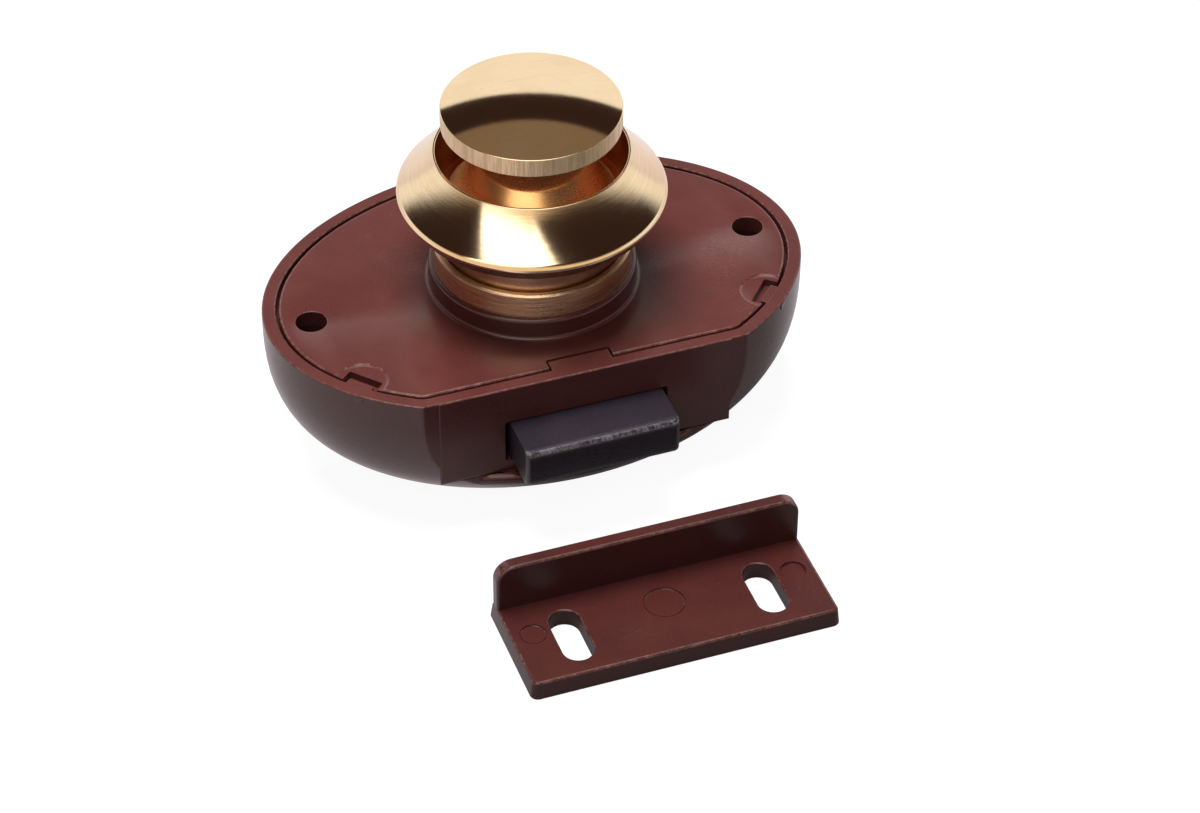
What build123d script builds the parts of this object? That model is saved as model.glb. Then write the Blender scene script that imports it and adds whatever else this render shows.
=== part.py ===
import math
import os

from build123d import *

# Push-button lock for a cabinet door, in millimetres. The origin is on the button's axis, in the
# cover plate's outer face. +Z points out through the door, and the bolt is thrown along -Y.

# Case: an oval bowl whose front is cut off flat
CASE_LENGTH = 69.4
CASE_BREADTH = 49.4
CASE_HEIGHT = 20.4
OVAL_SHIFT = 0.5             # the oval's centre lies this far in front of the button's axis
FRONT_REACH = 20.35          # from the button's axis to the flat front
FRONT_WIDTH = 37.8
FRONT_SHARE = 0.6373         # the flat's share of the case's height
FRONT_PROUD = 0.16           # the flat block stands this far out of the cut bowl
BLOCK_DEPTH = 3.4
SHOULDER_SHARE = 0.216       # rounding of the bowl's shoulder under the flat, by the height there
RIM_BAND = 1.1               # straight band under the rim, before the bowl draws in
RIM_WIDTH = 1.7
RIM_CORNER = 3.0
WALL = 2.6
FLOOR = 2.0
BOWL_ROUNDNESS = 2.8         # exponent of the bowl's profile
BOWL_PAD_SHARE = 0.27        # the flat foot's share of the oval
BOWL_SECTIONS = 7

# Cover plate, collar and its hooks
PLATE_THICKNESS = 2.2
PLATE_GAP = 0.4
PLATE_EDGE_ROUND = 0.35
COLLAR_RADIUS = 13.05
COLLAR_HEIGHT = 2.95
COLLAR_ROUND = 0.6
COLLAR_FOOT = 0.5
SCREW_INSET = 5.8            # from the case's end to a mounting screw
SCREW_HOLE_RADIUS = 1.95
BOSS_RADIUS = 4.2
BOSS_HOLE_RADIUS = 2.4
HEAD_RECESS_RADIUS = 3.3
HEAD_RECESS_TOP = 11.0
CLIP_INSET = 2.75            # the clips stand this far inside the case's oval
CLIP_TURN = 34.4             # place of a clip round the oval, from the X axis
CLIP_ANGLE = 41.4            # outward direction of a clip, from the X axis
CLIP_LENGTH = 4.7
CLIP_DEPTH = 2.1
CLIP_LIP = 1.0               # thickness of the plate that stays under a hook
CLIP_DISH_RADIUS = 3.3
CLIP_DISH_DEPTH = 0.25
HOOK_LENGTH = 3.5
HOOK_REACH = 1.1
HOOK_TOP = 0.35
TAB_WIDTH = 7.75
TAB_REACH = 1.7
TAB_GAP = 0.25
RIB_THICKNESS = 2.0
RIB_LENGTH = 3.4

# Brass sleeve and its circlip
SLEEVE_RADIUS = 12.5
SLEEVE_TOP = 6.3
SLEEVE_BORE = 11.5
SHANK_RADIUS = 12.2
SHANK_DROP = 1.4             # below the cover plate
SLEEVE_CHAMFER = 0.25
CLIP_RING_THICKNESS = 0.8
CLIP_RING_RADIUS = 13.9
CLIP_RING_GAP = 6.0
CLIP_GROOVE_RADIUS = 11.85

# Rosette
ROSETTE_RADIUS = 16.75
ROSETTE_BASE_RADIUS = 15.4
ROSETTE_BASE = 11.3
ROSETTE_EDGE = 13.4
ROSETTE_TOP = 19.45
MOUTH_RADIUS = 11.85
MOUTH_LIP = 0.4
MOUTH_FLOOR = 12.3
SPIGOT_FOOT = 3.4
ROSETTE_EDGE_ROUND = 0.6
ROSETTE_HOLLOW = 0.12        # the cone's side is drawn in by this much
SPIGOT_WALL = 0.8

# Button and travel
TRAVEL = 6.5
HEAD_RADIUS = 11.15
HEAD_CREST = 25.95
HEAD_BAND = 2.45
HEAD_DOME = 0.72
HEAD_UNDERCUT = 0.5
NECK_RADIUS = 6.5
NECK_TOP = 21.6
SKIRT_TOP = 12.5
SKIRT_WALL = 1.25
SKIRT_ROOF = 1.1
TAP_DEPTH = 8.0

# Plunger under the button
FLANGE_RADIUS = 11.4
FLANGE_THICKNESS = 2.0
TUBE_RADIUS = 4.5
TUBE_FOOT = 8.5
SPRING_BORE_RADIUS = 3.6
SPRING_BORE_ROOF = 2.0
CAM_INNER = 4.2              # the cam arms lie between these distances from the middle plane
CAM_OUTER = 6.6
CAM_FRONT = 2.0
CAM_TIP = 0.5                # the 45 degree face starts this far behind the button's axis
CAM_TOP = 2.2
TRACK_WIDTH = 3.9
TRACK_HEIGHT = 7.8
TRACK_WALL = 0.95
TRACK_DEPTH = 0.95
TRACK_FACE = 5.6
TRACK_ROUND = 0.8
TRACK_MARGIN = 0.3
HEART_WIDTH = 1.4
HEART_HEIGHT = 4.2
HEART_RISE = 0.25
HEART_ROUND = 0.12

# Bolt
BOLT_WIDTH = 19.86
BOLT_TOP = 5.43
BOLT_THICKNESS = 5.4
BOLT_THROW = 6.45            # how far it stands out of the flat front
BOLT_TAIL = 12.0
BOLT_TOP_ROUND = 1.0
BOLT_FOOT_ROUND = 1.2
BOLT_SIDE_ROUND = 0.7
WINDOW_WIDTH = 13.7
WINDOW_REAR = 7.0
WINDOW_PLAY = 0.3
RAMP_INNER = 4.75
OPENING_SIDE = 0.65
OPENING_ABOVE = 0.2
OPENING_BELOW = 0.6

# Springs, their pins and the screw in the button
BUTTON_SPRING_RADIUS = 3.05
BUTTON_WIRE_RADIUS = 0.3
BUTTON_TURNS = 7
WIRE_SIDES = 6
POST_RADIUS = 2.2
POST_HEIGHT = 2.0
BOLT_SPRING_RADIUS = 1.7
BOLT_WIRE_RADIUS = 0.22
BOLT_SPRING_TURNS = 7
SPRING_SPREAD = 5.8
POCKET_RADIUS = 2.3
POCKET_DEPTH = 3.6
SEAT_REACH = 19.6
SEAT_THICKNESS = 2.4
SEAT_TOP = 5.6
SEAT_HALF_WIDTH = 9.0
PIN_RADIUS = 0.9
PIN_REACH = 4.3              # how far a pin stands out of its seat
PIN_SUNK = 1.6
SCREW_RADIUS = 1.25
SCREW_CLEARANCE = 0.05
SCREW_HEAD_RADIUS = 2.3
SCREW_HEAD_HEIGHT = 1.6
SCREW_SLOT = 0.6
SCREW_BITE = 6.5
WASHER_RADIUS = 2.6
WASHER_THICKNESS = 0.4

# Catch wire, its lug and its leaf spring
WIRE_RADIUS = 0.4
WIRE_BEND = 0.8
WIRE_TIP_DEPTH = 7.5         # below the cover plate, with the button out
WIRE_PIVOT_HEIGHT = 1.2      # above the case's floor inside
WIRE_STAND_OFF = 0.1
WIRE_TAIL = 10.3
WIRE_LANE = 1.33             # at rest the tip stands this far to one side, in the track's lane
LUG_FRONT = 8.0
LUG_REAR = 10.6
LUG_WIDTH = 4.4
LUG_SHARE = 0.5              # the lug fills this share of the space under the bolt
LEAF_THICKNESS = 0.2
LEAF_WIDTH = 3.0
LEAF_TIP_SHARE = 0.11        # the leaf's tip lies at this share of the space under the bolt
LEAF_BEND = 0.7
LEAF_SCREW_RADIUS = 0.5
LEAF_SCREW_HEAD = 0.95
LEAF_SCREW_HEIGHT = 0.6
LEAF_SCREW_BITE = 1.6

# Bolt rails in the case
RAIL_INNER = 7.2
RAIL_CHEEK = 1.8
RAIL_CHEEK_DROP = 0.7        # the cheeks end this far below the bolt's top
RAIL_LENGTH = 15.5

# Running fits
FIT = 0.05
SLIDE_FIT = 0.07
OVERRUN = 5.0                # cuts run this far past what they cut

# Strike plate, lying on the same surface as the case
STRIKE_LENGTH = 39.4
STRIKE_DEPTH = 13.6
STRIKE_THICKNESS = 2.5
STRIKE_HEIGHT = 9.0
STRIKE_FLANGE = 2.0
STRIKE_X = 1.5
STRIKE_Y = 38.85
STRIKE_ROUND = 2.3
STRIKE_CORNER = 1.0
STRIKE_EDGE = 0.4
STRIKE_DRAFT = 0.25
SLOT_SPACING = 24.9
SLOT_WIDTH = 3.9
SLOT_LENGTH = 8.8
SLOT_ROW = 6.8
MARK_RADIUS = 2.5
MARK_SIDE_RADIUS = 1.6
MARK_SPREAD = 16.7
MARK_ROW = 5.2
MARK_DEPTH = 0.12
MARK_DEEP = 0.35             # the right-hand mark is sunk deeper

# Places that follow from the sizes
cavity_floor = CASE_HEIGHT - FLOOR
front_height = CASE_HEIGHT * FRONT_SHARE
shoulder_round = (CASE_HEIGHT - front_height) * SHOULDER_SHARE
screw_x = CASE_LENGTH / 2 - SCREW_INSET
clip_x = (CASE_LENGTH / 2 - CLIP_INSET) * math.cos(math.radians(CLIP_TURN))
clip_y = OVAL_SHIFT + (CASE_BREADTH / 2 - CLIP_INSET) * math.sin(math.radians(CLIP_TURN))
plate_inset = RIM_WIDTH + PLATE_GAP
bolt_foot = BOLT_TOP + BOLT_THICKNESS
under_bolt = cavity_floor - bolt_foot
lug_top = cavity_floor - under_bolt * LUG_SHARE
leaf_tip = bolt_foot + under_bolt * LEAF_TIP_SHARE
wire_pivot = cavity_floor - WIRE_PIVOT_HEIGHT
bolt_middle = (BOLT_TOP + bolt_foot) / 2
bolt_nose = FRONT_REACH + BOLT_THROW
spigot_radius = SLEEVE_BORE - FIT
skirt_radius = spigot_radius - SPIGOT_WALL - FIT
skirt_bore = skirt_radius - SKIRT_WALL
flange_top = SPIGOT_FOOT - FIT
flange_foot = flange_top - FLANGE_THICKNESS
window_front = TUBE_RADIUS + TRAVEL + WINDOW_PLAY
wire_axis = TRACK_FACE + WIRE_STAND_OFF + WIRE_RADIUS
leaf_screw_y = (LUG_FRONT + LUG_REAR) / 2
pocket_floor = BOLT_TAIL - POCKET_DEPTH
wire_lean = math.degrees(math.asin(WIRE_LANE / (wire_pivot - WIRE_TIP_DEPTH)))
strike_taper = math.degrees(math.atan2(STRIKE_DRAFT, STRIKE_THICKNESS))


def box_between(x_range, y_range, z_range):
    """A block from the lower to the higher of each pair of places."""
    low = [min(pair) for pair in (x_range, y_range, z_range)]
    size = [max(pair) - min(pair) for pair in (x_range, y_range, z_range)]
    return Pos(*low) * Box(*size, align=Align.MIN)


def face_of(*lines):
    """The face inside a closed run of lines."""
    return make_face([edge for line in lines for edge in line.edges()])


def both_sides(shape):
    """A shape and its mirror image across the lock's middle plane."""
    return shape + mirror(shape, about=Plane.YZ)


def cylinder_between(radius, low, high):
    """A cylinder on the button's axis."""
    return Pos(0, 0, low) * Cylinder(radius, high - low, align=(Align.CENTER, Align.CENTER, Align.MIN))


def oval(inset, share=1.0):
    """The case's oval, drawn in by an inset and then by a share."""
    return Pos(0, -OVAL_SHIFT) * Ellipse(
        (CASE_LENGTH / 2 - inset) * share, (CASE_BREADTH / 2 - inset) * share)


def cut_oval(inset, front):
    """The oval with its front cut straight, as the rim and the cover plate have it."""
    half = CASE_LENGTH / 2
    keep = Pos(0, -front) * Rectangle(
        CASE_LENGTH, CASE_BREADTH, align=(Align.CENTER, Align.MIN))
    outline = oval(inset) & keep
    corners = [v for v in outline.vertices() if abs(v.Y + front) < FIT and abs(v.X) < half]
    return fillet(corners, RIM_CORNER)


def bowl(inset, height):
    """A round-bottomed bowl under the oval: a straight band, then sections that draw in."""
    band = extrude(oval(inset), -RIM_BAND)
    sections = []
    for i in range(BOWL_SECTIONS):
        angle = math.pi / 2 * i / (BOWL_SECTIONS - 1)
        share = BOWL_PAD_SHARE + (1 - BOWL_PAD_SHARE) * abs(math.cos(angle)) ** (2 / BOWL_ROUNDNESS)
        depth = RIM_BAND + (height - RIM_BAND) * math.sin(angle) ** (2 / BOWL_ROUNDNESS)
        sections.append(Pos(0, 0, -depth) * oval(inset, share))
    below = box_between((-CASE_LENGTH, CASE_LENGTH), (-CASE_LENGTH, CASE_LENGTH),
                        (-height - OVERRUN, -height))
    return band + loft(sections) - below


def clip_place():
    """The place of the left clip in the cover's outer face, turned with +X outward."""
    return Pos(-clip_x, -clip_y) * Rot(0, 0, 180 + CLIP_ANGLE)


def coil(mean_radius, wire_radius, turns, length):
    """A spring that stands on z = 0 and is length long over its wire, which is six-sided here."""
    rise = length - 2 * wire_radius
    path = Helix(pitch=rise / turns, height=rise, radius=mean_radius)
    section = Plane(path @ 0, x_dir=(1, 0, 0), z_dir=path % 0) * RegularPolygon(wire_radius, WIRE_SIDES)
    return Pos(0, 0, wire_radius) * sweep(section, path=path, is_frenet=True)


def case_shell():
    """The bowl with its flat front, its cavity and the recess that takes the cover plate."""
    outer = bowl(0, CASE_HEIGHT)
    front = FRONT_REACH - FRONT_PROUD
    outer -= box_between((-CASE_LENGTH, CASE_LENGTH), (-CASE_BREADTH, -front), (-front_height, OVERRUN))
    shoulder = outer.edges().filter_by(lambda edge: abs(edge.center().Z + front_height) < FIT
                                       and edge.center().Y < -front - FIT)
    outer = fillet(shoulder, shoulder_round)
    outer += box_between((-FRONT_WIDTH / 2, FRONT_WIDTH / 2), (-FRONT_REACH, BLOCK_DEPTH - FRONT_REACH),
                         (-front_height, 0))
    cavity = bowl(WALL, cavity_floor)
    cavity -= box_between((-CASE_LENGTH, CASE_LENGTH), (-CASE_BREADTH, WALL - FRONT_REACH),
                          (-CASE_HEIGHT, OVERRUN))
    recess = extrude(cut_oval(RIM_WIDTH, FRONT_REACH - RIM_WIDTH), -PLATE_THICKNESS)
    return outer, outer - cavity - recess


def bolt_rails():
    """Two ribs under the bolt, each with a cheek beside it."""
    rear = RAIL_LENGTH
    foot = box_between((RAIL_INNER, BOLT_WIDTH / 2 + SLIDE_FIT + RAIL_CHEEK), (WALL - FRONT_REACH, rear),
                       (-CASE_HEIGHT, -bolt_foot - FIT))
    cheek_x = BOLT_WIDTH / 2 + SLIDE_FIT
    cheek_top = -BOLT_TOP - RAIL_CHEEK_DROP
    cheek = box_between((cheek_x, cheek_x + RAIL_CHEEK), (WALL - FRONT_REACH, rear),
                        (-CASE_HEIGHT, cheek_top))
    return both_sides(foot + cheek)


def screw_boss():
    """The post for one mounting screw, at the right-hand side."""
    return Pos(screw_x) * cylinder_between(BOSS_RADIUS, -CASE_HEIGHT, -PLATE_THICKNESS)


def screw_hole():
    """The right-hand mounting screw's hole, with the recess for its head in the case's back."""
    hole = cylinder_between(BOSS_HOLE_RADIUS, -CASE_HEIGHT - OVERRUN, 0)
    hole += cylinder_between(HEAD_RECESS_RADIUS, -CASE_HEIGHT - OVERRUN, -HEAD_RECESS_TOP)
    return Pos(screw_x) * hole


def spring_wall():
    """The wall at the back of the case that carries the two bolt springs' pins."""
    return box_between((-SEAT_HALF_WIDTH, SEAT_HALF_WIDTH), (SEAT_REACH, SEAT_REACH + SEAT_THICKNESS),
                       (-CASE_HEIGHT, -SEAT_TOP))


def catch_lug():
    """The lug on the case's floor in which the catch wire swings."""
    lug = box_between((-LUG_WIDTH / 2, LUG_WIDTH / 2), (LUG_FRONT, LUG_REAR), (-CASE_HEIGHT, -lug_top))
    bore = Pos(0, (LUG_FRONT + LUG_REAR) / 2, -wire_pivot) * Rot(90, 0, 0) * Cylinder(
        WIRE_RADIUS + FIT, 2 * LUG_REAR)
    screw = Pos(0, leaf_screw_y, -lug_top) * Cylinder(LEAF_SCREW_RADIUS, 2 * LEAF_SCREW_BITE)
    return lug - bore - screw


def cover_hook():
    """One snap hook, which reaches from the rim over the left clip's notch."""
    return clip_place() * box_between((CLIP_DEPTH / 2 - HOOK_REACH, CLIP_DEPTH / 2 + RIM_WIDTH),
                                      (-HOOK_LENGTH / 2, HOOK_LENGTH / 2),
                                      (CLIP_LIP + FIT - PLATE_THICKNESS, -HOOK_TOP))


def front_tab():
    """The rim's tab in the middle of the front, which reaches over the cover plate."""
    inner = FRONT_REACH - RIM_WIDTH
    return box_between((-TAB_WIDTH / 2, TAB_WIDTH / 2), (-inner - RIM_WIDTH / 2, TAB_REACH - inner),
                       (CLIP_LIP + FIT - PLATE_THICKNESS, 0))


def bolt_opening():
    """The opening in the flat front, with the bolt's play round it."""
    return box_between((-BOLT_WIDTH / 2 - OPENING_SIDE, BOLT_WIDTH / 2 + OPENING_SIDE),
                       (-FRONT_REACH - OVERRUN, WALL + FIT - FRONT_REACH),
                       (-bolt_foot - OPENING_BELOW, OPENING_ABOVE - BOLT_TOP))


def case():
    outer, shell = case_shell()
    inside = bolt_rails() + both_sides(screw_boss()) + spring_wall() + catch_lug()
    inside += cylinder_between(POST_RADIUS, -CASE_HEIGHT, POST_HEIGHT - cavity_floor)
    body = shell + (inside & outer)
    body += both_sides(cover_hook()) + front_tab()
    body -= both_sides(screw_hole()) + bolt_opening()
    return body - spring_pin(-1) - spring_pin(1)


def cover_plate():
    """The plate with its collar, screw holes, clip notches and front notch."""
    plate = extrude(cut_oval(plate_inset, FRONT_REACH - plate_inset), -PLATE_THICKNESS)
    top = plate.faces().sort_by(Axis.Z)[-1]
    plate = fillet(top.edges(), PLATE_EDGE_ROUND)
    collar = cylinder_between(COLLAR_RADIUS, -PLATE_THICKNESS / 2, COLLAR_HEIGHT)
    plate += fillet(collar.edges().sort_by(Axis.Z)[-1], COLLAR_ROUND)
    foot = plate.edges().filter_by(GeomType.CIRCLE).filter_by(
        lambda edge: abs(edge.radius - COLLAR_RADIUS) < FIT and abs(edge.center().Z) < FIT)
    plate = fillet(foot, COLLAR_FOOT)
    plate -= cylinder_between(SHANK_RADIUS + FIT, -OVERRUN, OVERRUN)
    hole = Pos(screw_x) * Cylinder(SCREW_HOLE_RADIUS, 2 * OVERRUN)
    notch = clip_place() * box_between((-CLIP_DEPTH / 2, CLIP_DEPTH / 2 + OVERRUN),
                                       (-CLIP_LENGTH / 2, CLIP_LENGTH / 2),
                                       (CLIP_LIP - PLATE_THICKNESS, OVERRUN))
    dish = clip_place() * Pos(0, 0, -CLIP_DISH_DEPTH) * Cylinder(
        CLIP_DISH_RADIUS, OVERRUN, align=(Align.CENTER, Align.CENTER, Align.MIN))
    inner = FRONT_REACH - RIM_WIDTH
    step = box_between((-TAB_WIDTH / 2 - TAB_GAP, TAB_WIDTH / 2 + TAB_GAP),
                       (-FRONT_REACH, TAB_REACH + TAB_GAP - inner),
                       (CLIP_LIP - PLATE_THICKNESS, OVERRUN))
    plate = plate - both_sides(hole) - both_sides(notch) - both_sides(dish) - step
    return plate + hold_down_ribs()


def hold_down_ribs():
    """Ribs under the plate that keep the bolt down on its rails, in front of the sleeve."""
    rear = COLLAR_RADIUS + RIB_THICKNESS / 2
    rib = box_between((RAIL_INNER, RAIL_INNER + RIB_THICKNESS), (-rear - RIB_LENGTH, -rear),
                      (FIT - BOLT_TOP, -PLATE_THICKNESS / 2))
    return both_sides(rib)


def threaded_sleeve():
    """The brass sleeve: a wide head on the collar and a thinner shank through the plate."""
    foot = -PLATE_THICKNESS - SHANK_DROP
    body = cylinder_between(SLEEVE_RADIUS, COLLAR_HEIGHT, SLEEVE_TOP)
    body += cylinder_between(SHANK_RADIUS, foot, COLLAR_HEIGHT)
    body -= cylinder_between(SLEEVE_BORE, foot - OVERRUN, SLEEVE_TOP + OVERRUN)
    groove_top = -PLATE_THICKNESS
    groove = cylinder_between(SLEEVE_RADIUS, groove_top - CLIP_RING_THICKNESS - FIT, groove_top)
    groove -= cylinder_between(CLIP_GROOVE_RADIUS, -2 * OVERRUN, OVERRUN)
    body -= groove
    edges = body.edges().filter_by(lambda edge: abs(edge.center().Z - SLEEVE_TOP) < FIT)
    return chamfer(edges, SLEEVE_CHAMFER)


def sleeve_circlip():
    """An open spring ring in the sleeve's groove, against the plate's inner face."""
    top = -PLATE_THICKNESS
    ring = cylinder_between(CLIP_RING_RADIUS, top - CLIP_RING_THICKNESS, top)
    ring -= cylinder_between(CLIP_GROOVE_RADIUS + FIT, -2 * OVERRUN, OVERRUN)
    gap = box_between((-CLIP_RING_GAP / 2, CLIP_RING_GAP / 2), (0, 2 * CLIP_RING_RADIUS),
                      (-2 * OVERRUN, OVERRUN))
    return ring - gap


def rosette():
    """The brass ring: a cone with a rounded edge, an underside bevel, and a spigot."""
    lip = MOUTH_RADIUS + MOUTH_LIP
    edge = (ROSETTE_RADIUS, ROSETTE_EDGE)
    shoulder = (ROSETTE_RADIUS - ROSETTE_EDGE_ROUND / 2, ROSETTE_EDGE + ROSETTE_EDGE_ROUND)
    middle = ((lip + shoulder[0]) / 2 - ROSETTE_HOLLOW, (ROSETTE_TOP + shoulder[1]) / 2 - ROSETTE_HOLLOW)
    side = ThreePointArc((lip, ROSETTE_TOP), middle, shoulder)
    turn = TangentArc(shoulder, edge, tangent=side % 1)
    bore = skirt_radius + FIT
    rest = Polyline(
        edge, (ROSETTE_BASE_RADIUS, ROSETTE_BASE), (spigot_radius, ROSETTE_BASE),
        (spigot_radius, SPIGOT_FOOT), (bore, SPIGOT_FOOT), (bore, MOUTH_FLOOR),
        (MOUTH_RADIUS, MOUTH_FLOOR), (MOUTH_RADIUS, ROSETTE_TOP), (lip, ROSETTE_TOP))
    return revolve(Plane.XZ * face_of(side, turn, rest), Axis.Z)


def button():
    """The brass button: domed head, neck that flares into the skirt, tapped from below."""
    crown = HEAD_CREST + HEAD_DOME
    band_foot = HEAD_CREST - HEAD_BAND
    dome = ThreePointArc((0, crown), (HEAD_RADIUS / 2, HEAD_CREST + HEAD_DOME * 3 / 4),
                         (HEAD_RADIUS, HEAD_CREST))
    under = Polyline((HEAD_RADIUS, HEAD_CREST), (HEAD_RADIUS, band_foot),
                     (NECK_RADIUS + HEAD_UNDERCUT, band_foot - HEAD_UNDERCUT))
    throat = TangentArc((NECK_RADIUS, NECK_TOP), (skirt_radius, SKIRT_TOP), tangent=(0, -1))
    neck = Line((NECK_RADIUS + HEAD_UNDERCUT, band_foot - HEAD_UNDERCUT), (NECK_RADIUS, NECK_TOP))
    roof = SKIRT_TOP - SKIRT_ROOF
    inside = Polyline((skirt_radius, SKIRT_TOP), (skirt_radius, flange_top), (skirt_bore, flange_top),
                      (skirt_bore, roof), (0, roof), (0, crown))
    body = revolve(Plane.XZ * face_of(dome, under, neck, throat, inside), Axis.Z)
    return body - cylinder_between(SCREW_RADIUS + SCREW_CLEARANCE, 0, roof + TAP_DEPTH)


def cam_arms():
    """The two arms with the 45 degree faces that draw the bolt back."""
    rise = TUBE_FOOT - CAM_TOP
    side = Polyline((-CAM_FRONT, flange_foot), (-CAM_FRONT, -TUBE_FOOT), (CAM_TIP, -TUBE_FOOT),
                    (CAM_TIP + rise, -CAM_TOP), (CAM_TIP + rise, flange_foot), close=True)
    arm = extrude(Plane.YZ.offset(CAM_INNER) * make_face(side), CAM_OUTER - CAM_INNER)
    return both_sides(arm)


def heart_track():
    """The track's loop: a rounded frame less the heart-shaped island in it."""
    middle = -TUBE_FOOT + TRACK_MARGIN + TRACK_HEIGHT / 2
    loop = RectangleRounded(TRACK_WIDTH, TRACK_HEIGHT, TRACK_ROUND)
    wide, high = HEART_WIDTH / 2, HEART_HEIGHT / 2
    heart = make_face(Polyline(
        (0, -high), (wide, high / 3), (wide / 2, high), (0, high / 2), (-wide / 2, high),
        (-wide, high / 3), close=True))
    heart = fillet(heart.vertices(), HEART_ROUND)
    loop -= Pos(0, HEART_RISE) * heart
    face = Plane(origin=(0, TRACK_FACE, middle), x_dir=(-1, 0, 0), z_dir=(0, 1, 0))
    return extrude(face * loop, -TRACK_DEPTH)


def plunger():
    """The plastic core: hub, flange, spring tube, cam arms and the catch's track."""
    hub_top = SKIRT_TOP - SKIRT_ROOF - FIT
    body = cylinder_between(skirt_bore - FIT, flange_top, hub_top)
    body += cylinder_between(FLANGE_RADIUS, flange_foot, flange_top)
    body += cylinder_between(TUBE_RADIUS, -TUBE_FOOT, flange_foot)
    half = TRACK_WIDTH / 2 + TRACK_WALL
    body += box_between((-half, half), (0, TRACK_FACE), (-TUBE_FOOT, flange_foot))
    body += cam_arms()
    body -= cylinder_between(SPRING_BORE_RADIUS, -TUBE_FOOT - OVERRUN, -SPRING_BORE_ROOF)
    body -= cylinder_between(SCREW_RADIUS + SCREW_CLEARANCE, -TUBE_FOOT, hub_top + OVERRUN)
    return body - heart_track()


def button_screw():
    """A slotted pan-head screw from the plunger up into the button."""
    seat = -SPRING_BORE_ROOF - WASHER_THICKNESS
    head = cylinder_between(SCREW_HEAD_RADIUS, seat - SCREW_HEAD_HEIGHT, seat)
    head = fillet(head.edges().sort_by(Axis.Z)[0], SCREW_HEAD_HEIGHT / 3)
    slot = box_between((-SCREW_HEAD_RADIUS, SCREW_HEAD_RADIUS), (-SCREW_SLOT / 2, SCREW_SLOT / 2),
                       (seat - 2 * SCREW_HEAD_HEIGHT, seat - SCREW_HEAD_HEIGHT / 2))
    tip = SKIRT_TOP - SKIRT_ROOF + SCREW_BITE
    return head - slot + cylinder_between(SCREW_RADIUS, seat, tip)


def screw_washer():
    low = -SPRING_BORE_ROOF - WASHER_THICKNESS
    ring = cylinder_between(WASHER_RADIUS, low, -SPRING_BORE_ROOF)
    return ring - cylinder_between(SCREW_RADIUS + SCREW_CLEARANCE, low - OVERRUN, OVERRUN)


def button_spring():
    length = cavity_floor - SPRING_BORE_ROOF
    return Pos(0, 0, -cavity_floor) * coil(BUTTON_SPRING_RADIUS, BUTTON_WIRE_RADIUS, BUTTON_TURNS, length)


def bolt():
    """The moulded bolt: rounded nose, window round the plunger, two ramps and spring pockets."""
    half = BOLT_WIDTH / 2
    body = box_between((-half, half), (-bolt_nose, BOLT_TAIL), (-bolt_foot, -BOLT_TOP))
    nose = body.faces().sort_by(Axis.Y)[0]
    across = nose.edges().filter_by(Axis.X).sort_by(Axis.Z)
    body = fillet(across[-1], BOLT_TOP_ROUND)
    across = body.faces().sort_by(Axis.Y)[0].edges().filter_by(Axis.X).sort_by(Axis.Z)
    body = fillet(across[0], BOLT_FOOT_ROUND)
    ends = body.edges().filter_by(lambda edge: abs(abs(edge.center().X) - half) < FIT
                                  and edge.center().Y < BOLT_FOOT_ROUND - bolt_nose)
    body = fillet(ends, BOLT_SIDE_ROUND)
    body -= box_between((-WINDOW_WIDTH / 2, WINDOW_WIDTH / 2), (-window_front, WINDOW_REAR),
                        (-bolt_foot - OVERRUN, OVERRUN - BOLT_TOP))
    return body + bolt_ramps() - spring_pockets()


def bolt_ramps():
    """The 45 degree ramps in the window on which the plunger's arms slide."""
    reach = SLIDE_FIT + TUBE_FOOT + CAM_TIP
    side = Polyline((reach - bolt_foot, -bolt_foot), (WINDOW_REAR + FIT, -bolt_foot),
                    (WINDOW_REAR + FIT, -BOLT_TOP), (reach - BOLT_TOP, -BOLT_TOP), close=True)
    ramp = extrude(Plane.YZ.offset(RAMP_INNER) * make_face(side), WINDOW_WIDTH / 2 + FIT - RAMP_INNER)
    return both_sides(ramp)


def spring_pockets():
    """The blind holes in the bolt's tail that take its two springs."""
    pocket = Pos(SPRING_SPREAD, pocket_floor, -bolt_middle) * Rot(-90, 0, 0) * Cylinder(
        POCKET_RADIUS, 2 * POCKET_DEPTH, align=(Align.CENTER, Align.CENTER, Align.MIN))
    return both_sides(pocket)


def bolt_spring(side):
    """One bolt spring, from the floor of its pocket to the wall at the back of the case."""
    spring = coil(BOLT_SPRING_RADIUS, BOLT_WIRE_RADIUS, BOLT_SPRING_TURNS, SEAT_REACH - pocket_floor)
    return Pos(side * SPRING_SPREAD, pocket_floor, -bolt_middle) * Rot(-90, 0, 0) * spring


def spring_pin(side):
    """The steel pin inside one bolt spring."""
    return Pos(side * SPRING_SPREAD, SEAT_REACH - PIN_REACH, -bolt_middle) * Rot(-90, 0, 0) * Cylinder(
        PIN_RADIUS, PIN_REACH + PIN_SUNK, align=(Align.CENTER, Align.CENTER, Align.MIN))


def catch_wire():
    """The bent wire: tail in the case's lug, shank beside the track, tip in the track."""
    path = FilletPolyline(
        (0, WIRE_TAIL, -wire_pivot), (0, wire_axis, -wire_pivot),
        (0, wire_axis, -WIRE_TIP_DEPTH), (0, TRACK_FACE - TRACK_DEPTH + SLIDE_FIT, -WIRE_TIP_DEPTH),
        radius=WIRE_BEND)
    wire = sweep(Plane(path @ 0, z_dir=path % 0) * Circle(WIRE_RADIUS), path=path)
    pivot = Pos(0, 0, -wire_pivot)
    return pivot * Rot(0, wire_lean, 0) * pivot.inverse() * wire


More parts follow.
